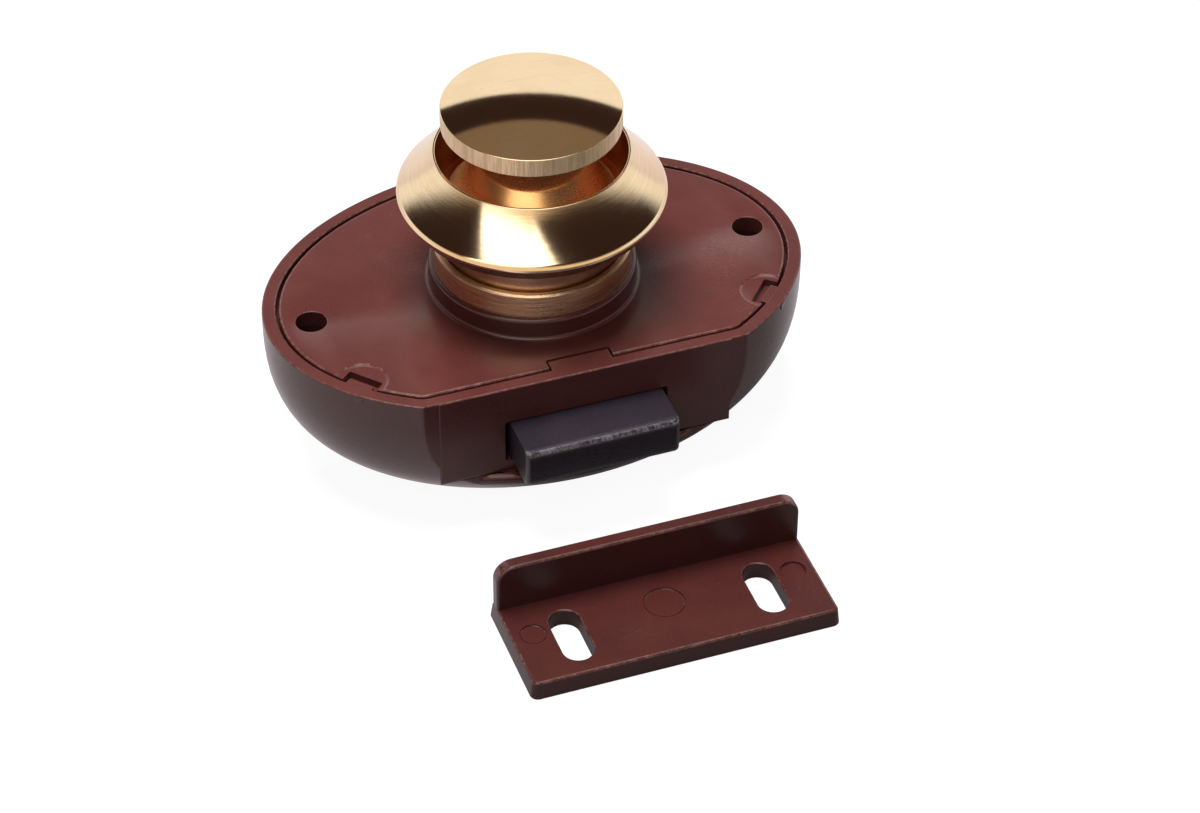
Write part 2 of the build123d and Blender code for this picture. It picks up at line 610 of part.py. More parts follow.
def catch_leaf():
    """The leaf spring: its foot is screwed to the lug and its end leans on the wire."""
    foot = LEAF_THICKNESS / 2 - lug_top
    lean = wire_axis + WIRE_RADIUS + FIT + LEAF_THICKNESS / 2
    path = FilletPolyline((0, LUG_REAR, foot), (0, LUG_FRONT, foot), (0, lean, -leaf_tip),
                          radius=LEAF_BEND)
    section = Plane(path @ 0, x_dir=(1, 0, 0), z_dir=path % 0) * Rectangle(LEAF_WIDTH, LEAF_THICKNESS)
    hole = Pos(0, leaf_screw_y, -lug_top) * Cylinder(LEAF_SCREW_RADIUS + SCREW_CLEARANCE, LEAF_WIDTH)
    return sweep(section, path=path) - hole


def leaf_screw():
    seat = LEAF_THICKNESS - lug_top
    shank = cylinder_between(LEAF_SCREW_RADIUS, seat - LEAF_SCREW_BITE, seat)
    head = cylinder_between(LEAF_SCREW_HEAD, seat, seat + LEAF_SCREW_HEIGHT)
    head = fillet(head.edges().sort_by(Axis.Z)[-1], LEAF_SCREW_HEIGHT / 2)
    return Pos(0, leaf_screw_y) * (shank + head)


def strike_marks():
    """The three shallow round marks in the strike plate's upper face."""
    marks = []
    for x, radius, depth in ((0, MARK_RADIUS, MARK_DEPTH), (-MARK_SPREAD, MARK_SIDE_RADIUS, MARK_DEPTH),
                             (MARK_SPREAD, MARK_SIDE_RADIUS, MARK_DEEP)):
        marks.append(Pos(x, -MARK_ROW, STRIKE_THICKNESS - depth) * Cylinder(
            radius, OVERRUN, align=(Align.CENTER, Align.CENTER, Align.MIN)))
    return marks


def strike_plate():
    """The angle that the bolt shoots behind: a drafted foot with two slots, and a round-cornered flange."""
    outline = Pos(0, (STRIKE_FLANGE - STRIKE_DEPTH) / 2) * Rectangle(
        STRIKE_LENGTH, STRIKE_DEPTH + STRIKE_FLANGE)
    front = outline.vertices().sort_by(Axis.Y)[:2]
    foot = extrude(fillet(front, STRIKE_CORNER), STRIKE_THICKNESS, taper=strike_taper)
    wall = Pos(0, STRIKE_HEIGHT / 2) * Rectangle(STRIKE_LENGTH - 2 * STRIKE_DRAFT, STRIKE_HEIGHT)
    wall = fillet(wall.vertices().sort_by(Axis.Y)[-2:], STRIKE_ROUND)
    back = Plane(origin=(0, STRIKE_FLANGE - STRIKE_DRAFT, 0), x_dir=(1, 0, 0), z_dir=(0, -1, 0))
    flange = extrude(back * wall, STRIKE_FLANGE - STRIKE_DRAFT)
    flange = fillet(flange.faces().sort_by(Axis.Y)[0].edges(), STRIKE_EDGE)
    rim = foot.faces().sort_by(Axis.Z)[-1].edges().sort_by(Axis.Y)[:-1]
    body = fillet(rim, STRIKE_EDGE) + flange
    slot = Pos(0, -SLOT_ROW) * Rot(0, 0, 90) * SlotOverall(SLOT_LENGTH, SLOT_WIDTH)
    cut = extrude(slot, STRIKE_THICKNESS + OVERRUN, both=True)
    for side in (-1, 1):
        body -= Pos(side * SLOT_SPACING / 2, 0) * cut
    for mark in strike_marks():
        body -= mark
    return Pos(STRIKE_X, -STRIKE_Y, -CASE_HEIGHT) * body


pieces = {
    "case": case(),
    "cover_plate": cover_plate(),
    "threaded_sleeve": threaded_sleeve(),
    "sleeve_circlip": sleeve_circlip(),
    "rosette": rosette(),
    "button": button(),
    "plunger": plunger(),
    "button_screw": button_screw(),
    "screw_washer": screw_washer(),
    "button_spring": button_spring(),
    "bolt": bolt(),
    "bolt_spring_left": bolt_spring(-1),
    "bolt_spring_right": bolt_spring(1),
    "spring_pin_left": spring_pin(-1),
    "spring_pin_right": spring_pin(1),
    "catch_wire": catch_wire(),
    "catch_leaf": catch_leaf(),
    "leaf_screw": leaf_screw(),
    "strike_plate": strike_plate(),
}

os.makedirs("parts", exist_ok=True)
for name, shape in pieces.items():
    export_step(shape, f"parts/{name}.step")
    print(name, round(shape.volume, 1))
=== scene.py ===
import math
import bpy
import bmesh
import numpy as np
from mathutils import Matrix, Vector
from mathutils.geometry import delaunay_2d_cdt


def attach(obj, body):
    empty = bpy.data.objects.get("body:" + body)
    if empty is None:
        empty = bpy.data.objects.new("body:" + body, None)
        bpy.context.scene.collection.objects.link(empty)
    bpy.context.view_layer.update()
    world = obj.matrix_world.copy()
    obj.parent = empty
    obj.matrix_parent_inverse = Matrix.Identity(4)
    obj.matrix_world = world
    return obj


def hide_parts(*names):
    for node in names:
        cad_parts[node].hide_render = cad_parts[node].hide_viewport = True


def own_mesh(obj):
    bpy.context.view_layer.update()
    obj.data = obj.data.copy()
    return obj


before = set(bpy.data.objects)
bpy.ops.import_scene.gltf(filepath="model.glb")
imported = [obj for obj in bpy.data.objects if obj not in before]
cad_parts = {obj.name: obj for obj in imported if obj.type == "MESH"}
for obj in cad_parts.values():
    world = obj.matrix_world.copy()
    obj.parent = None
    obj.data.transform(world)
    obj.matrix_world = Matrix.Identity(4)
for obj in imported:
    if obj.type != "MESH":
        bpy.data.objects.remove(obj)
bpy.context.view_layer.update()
scene = bpy.context.scene
mm = 0.001
full = 2 * math.pi
degrees = 180 / math.pi
print("frame loaded,", len(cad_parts), "nodes")


class Wire:
    # one socket's output; arithmetic on it adds Math nodes to the same tree
    def __init__(self, sheet, socket):
        self.sheet, self.socket = sheet, socket

    def sum(self, operation, *values):
        return self.sheet.node("Math", {"operation": operation}, dict(enumerate(values)))

    def __add__(self, other): return self.sum("ADD", self, other)
    def __radd__(self, other): return self.sum("ADD", other, self)
    def __sub__(self, other): return self.sum("SUBTRACT", self, other)
    def __rsub__(self, other): return self.sum("SUBTRACT", other, self)
    def __mul__(self, other): return self.sum("MULTIPLY", self, other)
    def __rmul__(self, other): return self.sum("MULTIPLY", other, self)
    def __pow__(self, other): return self.sum("POWER", self, other)
    def size(self): return self.sum("ABSOLUTE", self)
    def least(self, other): return self.sum("MINIMUM", self, other)
    def most(self, other): return self.sum("MAXIMUM", self, other)

    def between(self, low, high):      # 0 below low, 1 above high, smooth in between
        sockets = {"Value": self, "From Min": low, "From Max": high}
        return self.sheet.node("MapRange", {"interpolation_type": "SMOOTHSTEP"}, sockets)

    def past(self, at, ease):          # 0 below a value, 1 above it, smooth over ease to each side
        return self.between(at - ease, at + ease)


class Sheet:
    # a node tree of one material or of the world
    def __init__(self, tree):
        self.tree = tree
        tree.nodes.clear()

    def node(self, kind, settings={}, sockets={}, out=0):
        made = self.tree.nodes.new("ShaderNode" + kind)
        for key, value in settings.items():
            setattr(made, key, value)
        for key, value in sockets.items():
            if isinstance(value, Wire):
                self.tree.links.new(value.socket, made.inputs[key])
            else:
                made.inputs[key].default_value = value
        return Wire(self, made.outputs[out]) if len(made.outputs) else None

    def mix(self, share, first, second):
        return self.node("Mix", {"data_type": "RGBA"}, {0: share, 6: first, 7: second}, out=2)

    def noise(self, where, scale, detail=3.0, rough=0.55):
        sockets = {"Vector": where, "Scale": scale, "Detail": detail, "Roughness": rough}
        return self.node("TexNoise", {}, sockets)

    def place(self, scale=(1, 1, 1), turn=(0, 0, 0)):    # object coordinates, in metres
        where = self.node("TexCoord", out=3)
        return self.node("Mapping", {}, {"Vector": where, "Scale": scale, "Rotation": turn})

    def bump(self, height, strength):                    # a height of 1 stands for a millimetre
        return self.node("Bump", {}, {"Height": height, "Strength": strength, "Distance": mm})

    def parts(self, vector):
        made = self.node("SeparateXYZ", {}, {0: vector}).socket.node
        return [Wire(self, socket) for socket in made.outputs]

    def rays(self, *kinds):
        made = self.node("LightPath").socket.node
        return [Wire(self, made.outputs[kind]) for kind in kinds]

    def join(self, x, y, z):
        return self.node("CombineXYZ", {}, {0: x, 1: y, 2: z})

    def finishWith(self, kind, sockets, target="OutputMaterial"):
        self.node(target, {}, {"Surface": self.node(kind, {}, sockets)})

    def solid(self, colour, rough, normal, **more):
        sockets = {"Base Color": colour, "Roughness": rough, "Normal": normal, **more}
        self.finishWith("BsdfPrincipled", sockets)


def newFinish(name):
    material = bpy.data.materials.new(name)
    material.use_nodes = True
    return material, Sheet(material.node_tree)


def onEllipse(a, b, angle):
    return np.column_stack([a * np.cos(angle), b * np.sin(angle)])


def circleLoop(x, y, radius, count):
    return onEllipse(radius, radius, np.linspace(0, full, count, endpoint=False)) + (x, y)


def softPath(points, radii, closed=False, turnStep=7, support=0.03):
    # rounds each corner of a run of straight lines with an arc of its own radius, in steps of up to turnStep
    # degrees, with one more point just outside each arc, which keeps the flats beside it evenly shaded
    points = np.asarray(points, float)
    radii = np.broadcast_to(np.asarray(radii, float), (len(points),))
    rows = []
    for i, (here, radius) in enumerate(zip(points, radii)):
        ends = not closed and i in (0, len(points) - 1)
        before, after = points[i - 1], points[(i + 1) % len(points)]
        if ends or radius <= 0:
            rows.append(here[None])
            continue
        a, b = before - here, after - here
        a, b = a / np.linalg.norm(a), b / np.linalg.norm(b)
        turn = math.pi - math.acos(float(np.clip(a @ b, -1, 1)))
        if turn < 1e-3:                                  # no corner to speak of
            rows.append(here[None])
            continue
        run = radius * math.tan(turn / 2)
        centre = here + (a + b) / np.linalg.norm(a + b) * radius / math.cos(turn / 2)
        start = here + a * run - centre
        side = here + b * run - centre
        count = max(int(math.ceil(turn / math.radians(turnStep))), 2) + 1
        sweep = math.atan2(start[0] * side[1] - start[1] * side[0], float(start @ side))
        angle = np.linspace(0, sweep, count)[:, None]
        arc = centre + start * np.cos(angle) + np.array([-start[1], start[0]]) * np.sin(angle)
        rows += [here[None] + a * (run + support), arc, here[None] + b * (run + support)]
    return np.vstack(rows)


def boxLoop(left, near, right, far, radii):              # a rectangle with rounded corners
    return softPath([(left, near), (right, near), (right, far), (left, far)], radii, closed=True)


def evenLoop(loop, spacing):
    # the same closed outline with points an even distance apart
    ring = np.vstack([loop, loop[:1]])
    along = np.r_[0, np.cumsum(np.hypot(*np.diff(ring, axis=0).T))]
    at = np.linspace(0, along[-1], int(along[-1] / spacing), endpoint=False)
    return np.column_stack([np.interp(at, along, ring[:, k]) for k in (0, 1)])


def insideOf(points, loop):
    # even-odd rule, for all points at once
    x, y = points[:, 0][:, None], points[:, 1][:, None]
    ax, ay = loop[:, 0], loop[:, 1]
    bx, by = np.roll(ax, -1), np.roll(ay, -1)
    with np.errstate(divide="ignore", invalid="ignore"):
        crosses = ((ay > y) != (by > y)) & (x < (bx - ax) * (y - ay) / (by - ay) + ax)
    return crosses.sum(1) % 2 == 1


def turned(loop, clockwise):
    # the loop run the asked way round; twice its area is the sum of x y' - x' y
    area = np.sum(loop[:, 0] * np.roll(loop[:, 1], -1) - np.roll(loop[:, 0], -1) * loop[:, 1])
    return loop[::-1] if (area > 0) == clockwise else loop


def unit(v, tiny=1e-12):
    return v / (np.linalg.norm(v, axis=1)[:, None] + tiny)


def drawnIn(loop, inset):
    # moves each point into the material, which lies to the left of the outline's direction
    ahead, behind = unit(np.roll(loop, -1, axis=0) - loop), unit(loop - np.roll(loop, 1, axis=0))
    normal = unit(np.column_stack([-(ahead + behind)[:, 1], (ahead + behind)[:, 0]]))
    stretch = np.clip((normal * np.column_stack([-ahead[:, 1], ahead[:, 0]])).sum(1), 0.5, 1)
    return loop + normal * (inset / stretch)[:, None]


def ringFaces(count, first, second):
    # quads between two rings of the same number of points
    i = np.arange(count)
    j = (i + 1) % count
    return np.column_stack([first + i, first + j, second + j, second + i])


def capFaces(loops, offsets):
    # triangles that fill the first loop less the others, as indices into the whole mesh
    points = [Vector(p) for p in np.vstack(loops)]
    index = np.concatenate([start + np.arange(len(loop)) for loop, start in zip(loops, offsets)])
    edges, at = [], 0
    for loop in loops:
        i = np.arange(len(loop))
        edges += np.column_stack([at + i, at + (i + 1) % len(loop)]).tolist()
        at += len(loop)
    made = delaunay_2d_cdt(points, edges, [list(range(len(loops[0])))], 1, 1e-7)
    place = np.array([p[:] for p in made[0]])
    faces = np.array(made[2])
    middle = place[faces].mean(1)
    keep = insideOf(middle, loops[0])
    for hole in loops[1:]:
        keep &= ~insideOf(middle, hole)
    back = np.array([index[origin[0]] for origin in made[3]])
    return back[faces[keep]]


def newPiece(name, mesh, smoothAngle=32):
    # joins points that fall together, turns the faces outwards and shades smooth up to an angle in degrees
    body = bmesh.new()
    body.from_mesh(mesh)
    bmesh.ops.remove_doubles(body, verts=body.verts, dist=0.0005 * mm)
    bmesh.ops.recalc_face_normals(body, faces=body.faces)
    body.to_mesh(mesh)
    body.free()
    mesh.shade_smooth()
    mesh.set_sharp_from_angle(angle=math.radians(smoothAngle))
    piece = bpy.data.objects.new(name, mesh)
    scene.collection.objects.link(piece)
    return piece


def meshPiece(name, points, faceSets, smoothAngle=32):
    # fills a mesh from whole arrays: points in millimetres, and sets of faces with as many corners each
    points = np.asarray(points, float) * mm
    mesh = bpy.data.meshes.new(name)
    loops = np.concatenate([f.ravel() for f in faceSets]).astype(np.int32)
    sizes = np.concatenate([np.full(len(f), f.shape[1]) for f in faceSets]).astype(np.int32)
    mesh.vertices.add(len(points))
    mesh.vertices.foreach_set("co", points.ravel())
    mesh.loops.add(len(loops))
    mesh.loops.foreach_set("vertex_index", loops)
    mesh.polygons.add(len(sizes))
    mesh.polygons.foreach_set("loop_start", np.r_[0, np.cumsum(sizes)[:-1]].astype(np.int32))
    mesh.update(calc_edges=True)
    mesh.validate()
    return newPiece(name, mesh, smoothAngle)


def pick(settings, names):
    return [settings[name] for name in names.split()]


def turnedPiece(name, profile, segments=256, closed=False):
    # surface of revolution: (r cos a, r sin a, z) for each profile point (r, z) and each angle a
    profile = np.asarray(profile, float)
    angle = np.linspace(0, full, segments, endpoint=False)
    r, z = profile[:, 0][:, None], profile[:, 1][:, None]
    points = np.stack([r * np.cos(angle), r * np.sin(angle), z + 0 * angle], axis=2)
    rows = np.arange(len(profile) if closed else len(profile) - 1)
    faces = np.vstack([ringFaces(segments, k * segments, (k + 1) % len(profile) * segments) for k in rows])
    return meshPiece(name, points.reshape(-1, 3), [faces])


def platePiece(name, loops, levels, make=True):
    # a plate: every outline is carried up through levels of (height, inset), one list for all outlines
    # or one for each, then both ends are filled; without make it gives the points and faces
    loops = [turned(loop, k > 0) for k, loop in enumerate(loops)]
    points, faces, ends, at = [], [], [], 0
    runs = levels if isinstance(levels[0], list) else [levels] * len(loops)
    for loop, run in zip(loops, runs):
        starts = []
        for z, inset in run:
            ring = drawnIn(loop, inset)
            points.append(np.column_stack([ring, np.full(len(ring), z)]))
            starts.append(at)
            at += len(ring)
        faces += [ringFaces(len(loop), a, b) for a, b in zip(starts[:-1], starts[1:])]
        ends.append(starts)
    caps = []
    for k in (0, -1):
        rings = [drawnIn(loop, run[k][1]) for loop, run in zip(loops, runs)]
        caps.append(capFaces(rings, [starts[k] for starts in ends]))
    points, sets = np.vstack(points), [np.vstack(faces), np.vstack(caps)]
    return meshPiece(name, points, sets) if make else (points, sets)


def blockPiece(name, low, high, corner=0.0, edge=0.0, along="z", spare=0.06):
    # a block between two corners; across one axis its corners may be round, by spare more at least than
    # the edges of its two ends
    u, v, w = {"y": (0, 2, 1), "z": (0, 1, 2)}[along]
    loop = boxLoop(low[u], low[v], high[u], high[v], max(corner, edge + spare) if corner else 0.0)
    points, sets = platePiece(name, [loop], roundedLevels(low[w], high[w], edge, edge), make=False)
    return meshPiece(name, points[:, np.argsort((u, v, w))], sets)


def placed(piece, x=0.0, y=0.0, z=0.0, turn=0.0, axis="Z"):
    move = Matrix.Translation((x * mm, y * mm, z * mm))
    piece.data.transform(move @ Matrix.Rotation(math.radians(turn), 4, axis))
    return piece


def rodPiece(name, radius, low, high, x=0.0):
    return placed(turnedPiece(name, [(0, low), (radius, low), (radius, high), (0, high)], 96), x)


def joined(name, pieces):
    # several shells as one piece
    body = bmesh.new()
    for piece in pieces:
        body.from_mesh(piece.data)
        bpy.data.objects.remove(piece)
    mesh = bpy.data.meshes.new(name)
    body.to_mesh(mesh)
    body.free()
    return newPiece(name, mesh)


def carved(piece, tool, operation="DIFFERENCE"):
    # one solid cut by another or joined to it; the other is used up
    cut = piece.modifiers.new("cut", "BOOLEAN")
    cut.operation, cut.solver, cut.object = operation, "EXACT", tool
    bpy.context.view_layer.update()
    shape = piece.evaluated_get(bpy.context.evaluated_depsgraph_get())
    mesh = bpy.data.meshes.new_from_object(shape)
    piece.modifiers.clear()
    piece.data = mesh
    bpy.data.objects.remove(tool)
    return piece


def roundedLevels(low, high, foot, crown, steps=5, lead=0.03, gap=0.02):
    # the levels of a plate with a quarter-round at its foot and at its crown, each with one more level
    # to either side to keep the flats evenly shaded
    angle = np.linspace(0, math.pi / 2, steps)
    rows = [(low, foot + lead if foot else 0.0)]
    if foot:
        rows += [(low + foot - foot * math.cos(a), foot - foot * math.sin(a)) for a in angle]
        rows.append((low + foot + gap, 0.0))
    if crown:
        rows.append((high - crown - gap, 0.0))
        rows += [(high - crown + crown * math.sin(a), crown - crown * math.cos(a)) for a in angle]
    return rows + [(high, crown + lead if crown else 0.0)]


def dress(piece, finish, body, slotName, *nodes):
    # a finish, the body that the piece rides on, a slot name that is not used, and the CAD nodes that it stands
    # for
    piece.data.materials.clear()
    piece.data.materials.append(finish)
    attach(piece, body)
    if nodes:
        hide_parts(*nodes)
    return piece


view = dict(
    place=(-0.12301, -0.36239, 0.30492), azimuth=-20.033, elevation=40.505, roll=0.414, lens=117.0, sensor=36.0,
    clip=(0.01, 20.0))


def fromNearSide(x, y):
    # a level direction's share towards the photograph's place, its share to the right, and its angle from
    # the first to the right, in degrees
    a = math.radians(view["azimuth"])
    near, side = x * math.sin(a) - y * math.cos(a), x * math.cos(a) + y * math.sin(a)
    return near, side, side.sum("ARCTAN2", side, near) * degrees


def makeCamera():
    # looks down by elevation in the direction azimuth, rolled about that line
    a, e, r = (math.radians(view[k]) for k in ("azimuth", "elevation", "roll"))
    ahead = Vector((-math.sin(a) * math.cos(e), math.cos(a) * math.cos(e), -math.sin(e)))
    level = Vector((math.cos(a), math.sin(a), 0))
    above = level.cross(ahead)
    right = level * math.cos(r) + above * math.sin(r)
    up = above * math.cos(r) - level * math.sin(r)
    data = bpy.data.cameras.new("camera")
    data.lens, data.sensor_width, data.sensor_fit = view["lens"], view["sensor"], "HORIZONTAL"
    data.clip_start, data.clip_end = view["clip"]
    data.dof.use_dof = False
    camera = bpy.data.objects.new("camera", data)
    turn = Matrix((right, up, -ahead)).transposed().to_4x4()
    camera.matrix_world = Matrix.Translation(view["place"]) @ turn
    scene.collection.objects.link(camera)
    scene.camera = camera


surroundings = dict(
    white=(1.0, 0.985, 0.955, 1), dark=(0.032, 0.018, 0.015, 1), tan=(0.215, 0.16, 0.115, 1),
    soft=(2.6, 2.5, 2.35, 1), low=(0.95, 0.77, 0.54, 1), zenith=(2.1, 2.0, 1.9, 1), plain=(0.10, 0.10, 0.10, 1),
    clear=(1, 1, 1, 1), backTop=33.8, gapTop=41.4, arch=0.0115, archMost=60.0, ceilingArch=1.1, tilt=0.045,
    roomFoot=34.0, roomFall=0.21, roomTop=66.0, roomHalf=126.0, softFoot=3.0, softLeft=(-48.0, 0.45),
    softRight=(7.0, 1.6), lowHalf=(100, 60))
eases = dict(back=0.35, gap=0.5, soft=2, room=3.5, half=12, top=4)       # half the width of each edge


def makeSurroundings():
    # what gloss shows: a white backdrop up to backTop degrees, a dark gap over it and a dim ceiling; on the
    # near side a dark room whose foot falls away to both sides, with one soft light in its middle
    s = surroundings
    world = bpy.data.worlds.new("studio")
    scene.world = world
    world.use_nodes = True
    sheet = Sheet(world.node_tree)
    x, y, z = sheet.parts(sheet.node("TexCoord", out=0))
    rise = z.sum("ARCSINE", z) * degrees                 # above the level
    near, side, swing = fromNearSide(x, y)
    far = side.sum("ARCTAN2", side, 0 - near) * degrees  # the angle from the far side
    arch = (far.size().least(s["archMost"]) ** 2) * s["arch"] + far * s["tilt"]
    gap = (rise - arch).past(s["backTop"], eases["back"])
    ceiling = (rise - arch * s["ceilingArch"]).past(s["gapTop"], eases["gap"])
    over = rise - s["roomFoot"] - s["softFoot"]
    left, right = ((swing - over * slope).past(at, eases["soft"])
                   for at, slope in (s["softLeft"], s["softRight"]))
    soft = left * (1 - right)
    foot = s["roomFoot"] - swing.size() * s["roomFall"] + soft * s["softFoot"]
    room = (rise - foot).past(0, eases["room"]) * (1 - swing.size().past(s["roomHalf"], eases["half"]))
    below = sheet.mix(swing.size().between(*s["lowHalf"]), s["white"], s["low"])
    shown = sheet.mix(ceiling, sheet.mix(gap, below, s["dark"]), s["tan"])
    shown = sheet.mix(room, shown, sheet.mix(soft, s["dark"], s["soft"]))
    shown = sheet.mix(rise.past(s["roomTop"], eases["top"]), shown, s["zenith"])
    camera, gloss, through = sheet.rays("Is Camera Ray", "Is Glossy Ray", "Is Transmission Ray")
    tone = sheet.mix(gloss, sheet.mix(camera.most(through), s["plain"], s["clear"]), shown)
    sheet.finishWith("Background", {"Color": tone, "Strength": 1.0}, "OutputWorld")


floorLook = dict(
    radius=900.0, height=-20.42, sides=96, colour=(0.11, 0.11, 0.11, 1), lift=0.93, clear=(1, 1, 1, 1),
    glossTint=(1, 0.90, 0.93, 1), glossLift=(0.12, 0.70), dimFrom=(-6.0, 15), dimTo=(104.0, 20))


def makeFloor():
    # white to the camera, with the shadow on it; gloss sees it tinted, and dimmer on the near side
    s = floorLook
    disc = circleLoop(0, 0, s["radius"], s["sides"])
    points = np.column_stack([disc, np.full(s["sides"], s["height"])])
    floor = meshPiece("floor", points, [np.arange(s["sides"])[None]])
    material, sheet = newFinish("paleFloor")
    camera, gloss = sheet.rays("Is Camera Ray", "Is Glossy Ray")
    swing = fromNearSide(*sheet.parts(sheet.place())[:2])[2]
    dimmed = swing.past(*s["dimFrom"]) * (1 - swing.past(*s["dimTo"]))
    dull, bright = s["glossLift"]
    strength = camera * s["lift"] + gloss * (bright - dimmed * (bright - dull))
    colour = sheet.mix(gloss, s["clear"], s["glossTint"])
    lift = sheet.node("Emission", {}, {"Color": colour, "Strength": strength})
    plain = sheet.node("BsdfDiffuse", {}, {"Color": s["colour"]})
    sheet.finishWith("AddShader", {0: lift, 1: plain})
    floor.data.materials.append(material)


lamps = [
    dict(name="overhead", place=(-0.06, 0.12, 0.75), size=0.50, watts=11.5),
    dict(name="near", place=(-0.32, -0.50, 0.55), size=0.40, watts=1.4),
    dict(name="right", place=(0.60, -0.15, 0.35), size=0.40, watts=0.8),
]


def makeLamps():
    # round lamps that gloss doesn't see, turned to the middle of the frame
    for lamp in lamps:
        data = bpy.data.lights.new(lamp["name"], "AREA")
        data.shape, data.size, data.energy = "DISK", lamp["size"], lamp["watts"]
        made = bpy.data.objects.new(lamp["name"], data)
        place = Vector(lamp["place"])
        turn = place.to_track_quat("Z", "Y").to_matrix().to_4x4()
        made.matrix_world = Matrix.Translation(place) @ turn
        made.visible_glossy = False
        scene.collection.objects.link(made)


makeCamera()
makeSurroundings()
makeFloor()
makeLamps()
scene.view_settings.view_transform = "Standard"
print("camera, floor and light placed")


# the orange tone for the button's neck and skirt is painted light, standing for light bounced inside the rosette;
# the dark tones for the rosette's bore and for its spigot are painted shade
brassLook = dict(
    plain=((0.94, 0.74, 0.49, 1), (0.82, 0.57, 0.31, 1)), bouncedLight=((0.97, 0.52, 0.20, 1), (0.78, 0.33, 0.11, 1)),
    bore=((0.56, 0.22, 0.10, 1), (0.22, 0.06, 0.04, 1)), turned=((0.84, 0.63, 0.41, 1), (0.62, 0.40, 0.24, 1)),
    neck=((0.50, 0.33, 0.23, 1), (0.30, 0.17, 0.11, 1)), band=((0.78, 0.59, 0.37, 1), (0.60, 0.42, 0.24, 1)),
    mark=(0.20, 0.12, 0.05, 1), valley=(0.13, 0.075, 0.04, 1), stroke=(0.62, 0.47, 0.30, 1),
    line=(0.33, 0.22, 0.12, 1))


def brassFinish(name, tones, rough, ringHeight, tarnish=0.4, upright=0.0, spread=0.10, scale=9000.0,
                metal=1.0, ruled=0.0, strokes=0.0):
    # turned brass: fine rings about the axis, soft tarnish, a few handling marks
    material, sheet = newFinish(name)
    where = sheet.place()
    x, y, z = sheet.parts(where)
    radius = (x * x + y * y) ** 0.5
    swing = y.sum("ARCTAN2", y, x)
    along = sheet.join(swing * 0.0012, radius, z)        # drawn out round the axis
    rings = sheet.noise(along, scale, 4.0, 0.7)
    broad = sheet.noise(along, scale * 0.12, 2.0, 0.6)
    stain = sheet.noise(where, 120.0, 4.0, 0.6)
    specks = sheet.noise(where, 2600.0, 3.0, 0.7)
    mark = specks.between(0.66, 0.74)
    colour = sheet.mix(stain.between(0.35, 0.75) * tarnish, *tones)
    colour = sheet.mix(mark * 0.35, colour, brassLook["mark"])
    if ruled:                                            # lines left by the tool, darker in their valleys
        valley = sheet.noise(sheet.join(swing * 0.00006, radius, z), scale * 1.4, 3.0, 0.8)
        colour = sheet.mix(valley.between(0.60, 0.40) * ruled, colour, brassLook["valley"])
    if strokes:                                          # slanting strokes of a buffing cloth
        slant = sheet.noise(sheet.place(scale=(0.10, 1.6, 1), turn=(0, 0, -0.62)), 1500.0, 4.0, 0.65)
        colour = sheet.mix(slant.between(0.48, 0.72) * strokes, colour, brassLook["stroke"])
    height = (rings - 0.5) * ringHeight + (broad - 0.5) * ringHeight * 1.5
    if upright:                                          # fine upright lines round a rim
        wide = sheet.join(swing * 0.0115, z * 0.04, 0.0)
        lines = sheet.noise(wide, 2400.0, 4.0, 0.75)
        height = height + (lines - 0.5) * upright
        colour = sheet.mix(lines.between(0.42, 0.62) * 0.42, colour, brassLook["line"])
    roughness = rough + (rings - 0.5) * spread + stain.between(0.4, 0.8) * spread * 0.5
    sheet.solid(colour, roughness, sheet.bump(height, 1.0), Metallic=metal)
    return material


plasticLook = dict(
    case=((0.086, 0.0232, 0.0200, 1), (0.066, 0.0165, 0.0150, 1)),
    strike=((0.054, 0.013, 0.011, 1), (0.040, 0.0095, 0.009, 1)),
    bolt=((0.022, 0.017, 0.024, 1), (0.014, 0.011, 0.016, 1)),
    inner=((0.62, 0.59, 0.51, 1), (0.55, 0.52, 0.44, 1)), scuff=(0.55, 0.42, 0.40, 1))


def plasticFinish(name, tones, rough=0.25, grain=0.004, scuffs=0.5, pitScale=5200.0,
                  highlightShare=0.0, highlightTone=(0.42, 0.25, 0.22, 1)):
    # moulded plastic: faint mottling, fine pitting, hairline scuffs that catch the light
    material, sheet = newFinish(name)
    where = sheet.place()
    mottle = sheet.noise(where, 90.0, 5.0, 0.6)
    pits = sheet.noise(where, pitScale, 3.0, 0.6)
    hair = sheet.noise(sheet.place(scale=(1, 7, 3), turn=(0.3, 0.2, 0.7)), 900.0, 2.0, 0.5)
    scratch = (hair - 0.5).size().between(0.012, 0.0) * sheet.noise(where, 60.0).between(0.55, 0.7)
    dust = sheet.noise(where, 3400.0, 2.0, 0.5).between(0.72, 0.78)
    colour = sheet.mix(mottle.between(0.3, 0.7), *tones)
    colour = sheet.mix((scratch * scuffs + dust * 0.4).least(1.0) * 0.35, colour, plasticLook["scuff"])
    if highlightShare:                                             # painted highlight: a lighter colour in specks on an edge, for the light that it catches
        highlightSpecks = sheet.noise(where, 1300.0, 5.0, 0.8).between(0.40, 0.68)
        colour = sheet.mix(highlightSpecks * highlightShare, colour, highlightTone)
    roughness = rough + (mottle - 0.5) * 0.10 + (pits - 0.5) * 0.10 - scratch * 0.08
    normal = sheet.bump((pits - 0.5) * grain + (mottle - 0.5) * 0.06, 0.8)
    sheet.solid(colour, roughness, normal, IOR=1.47)
    return material


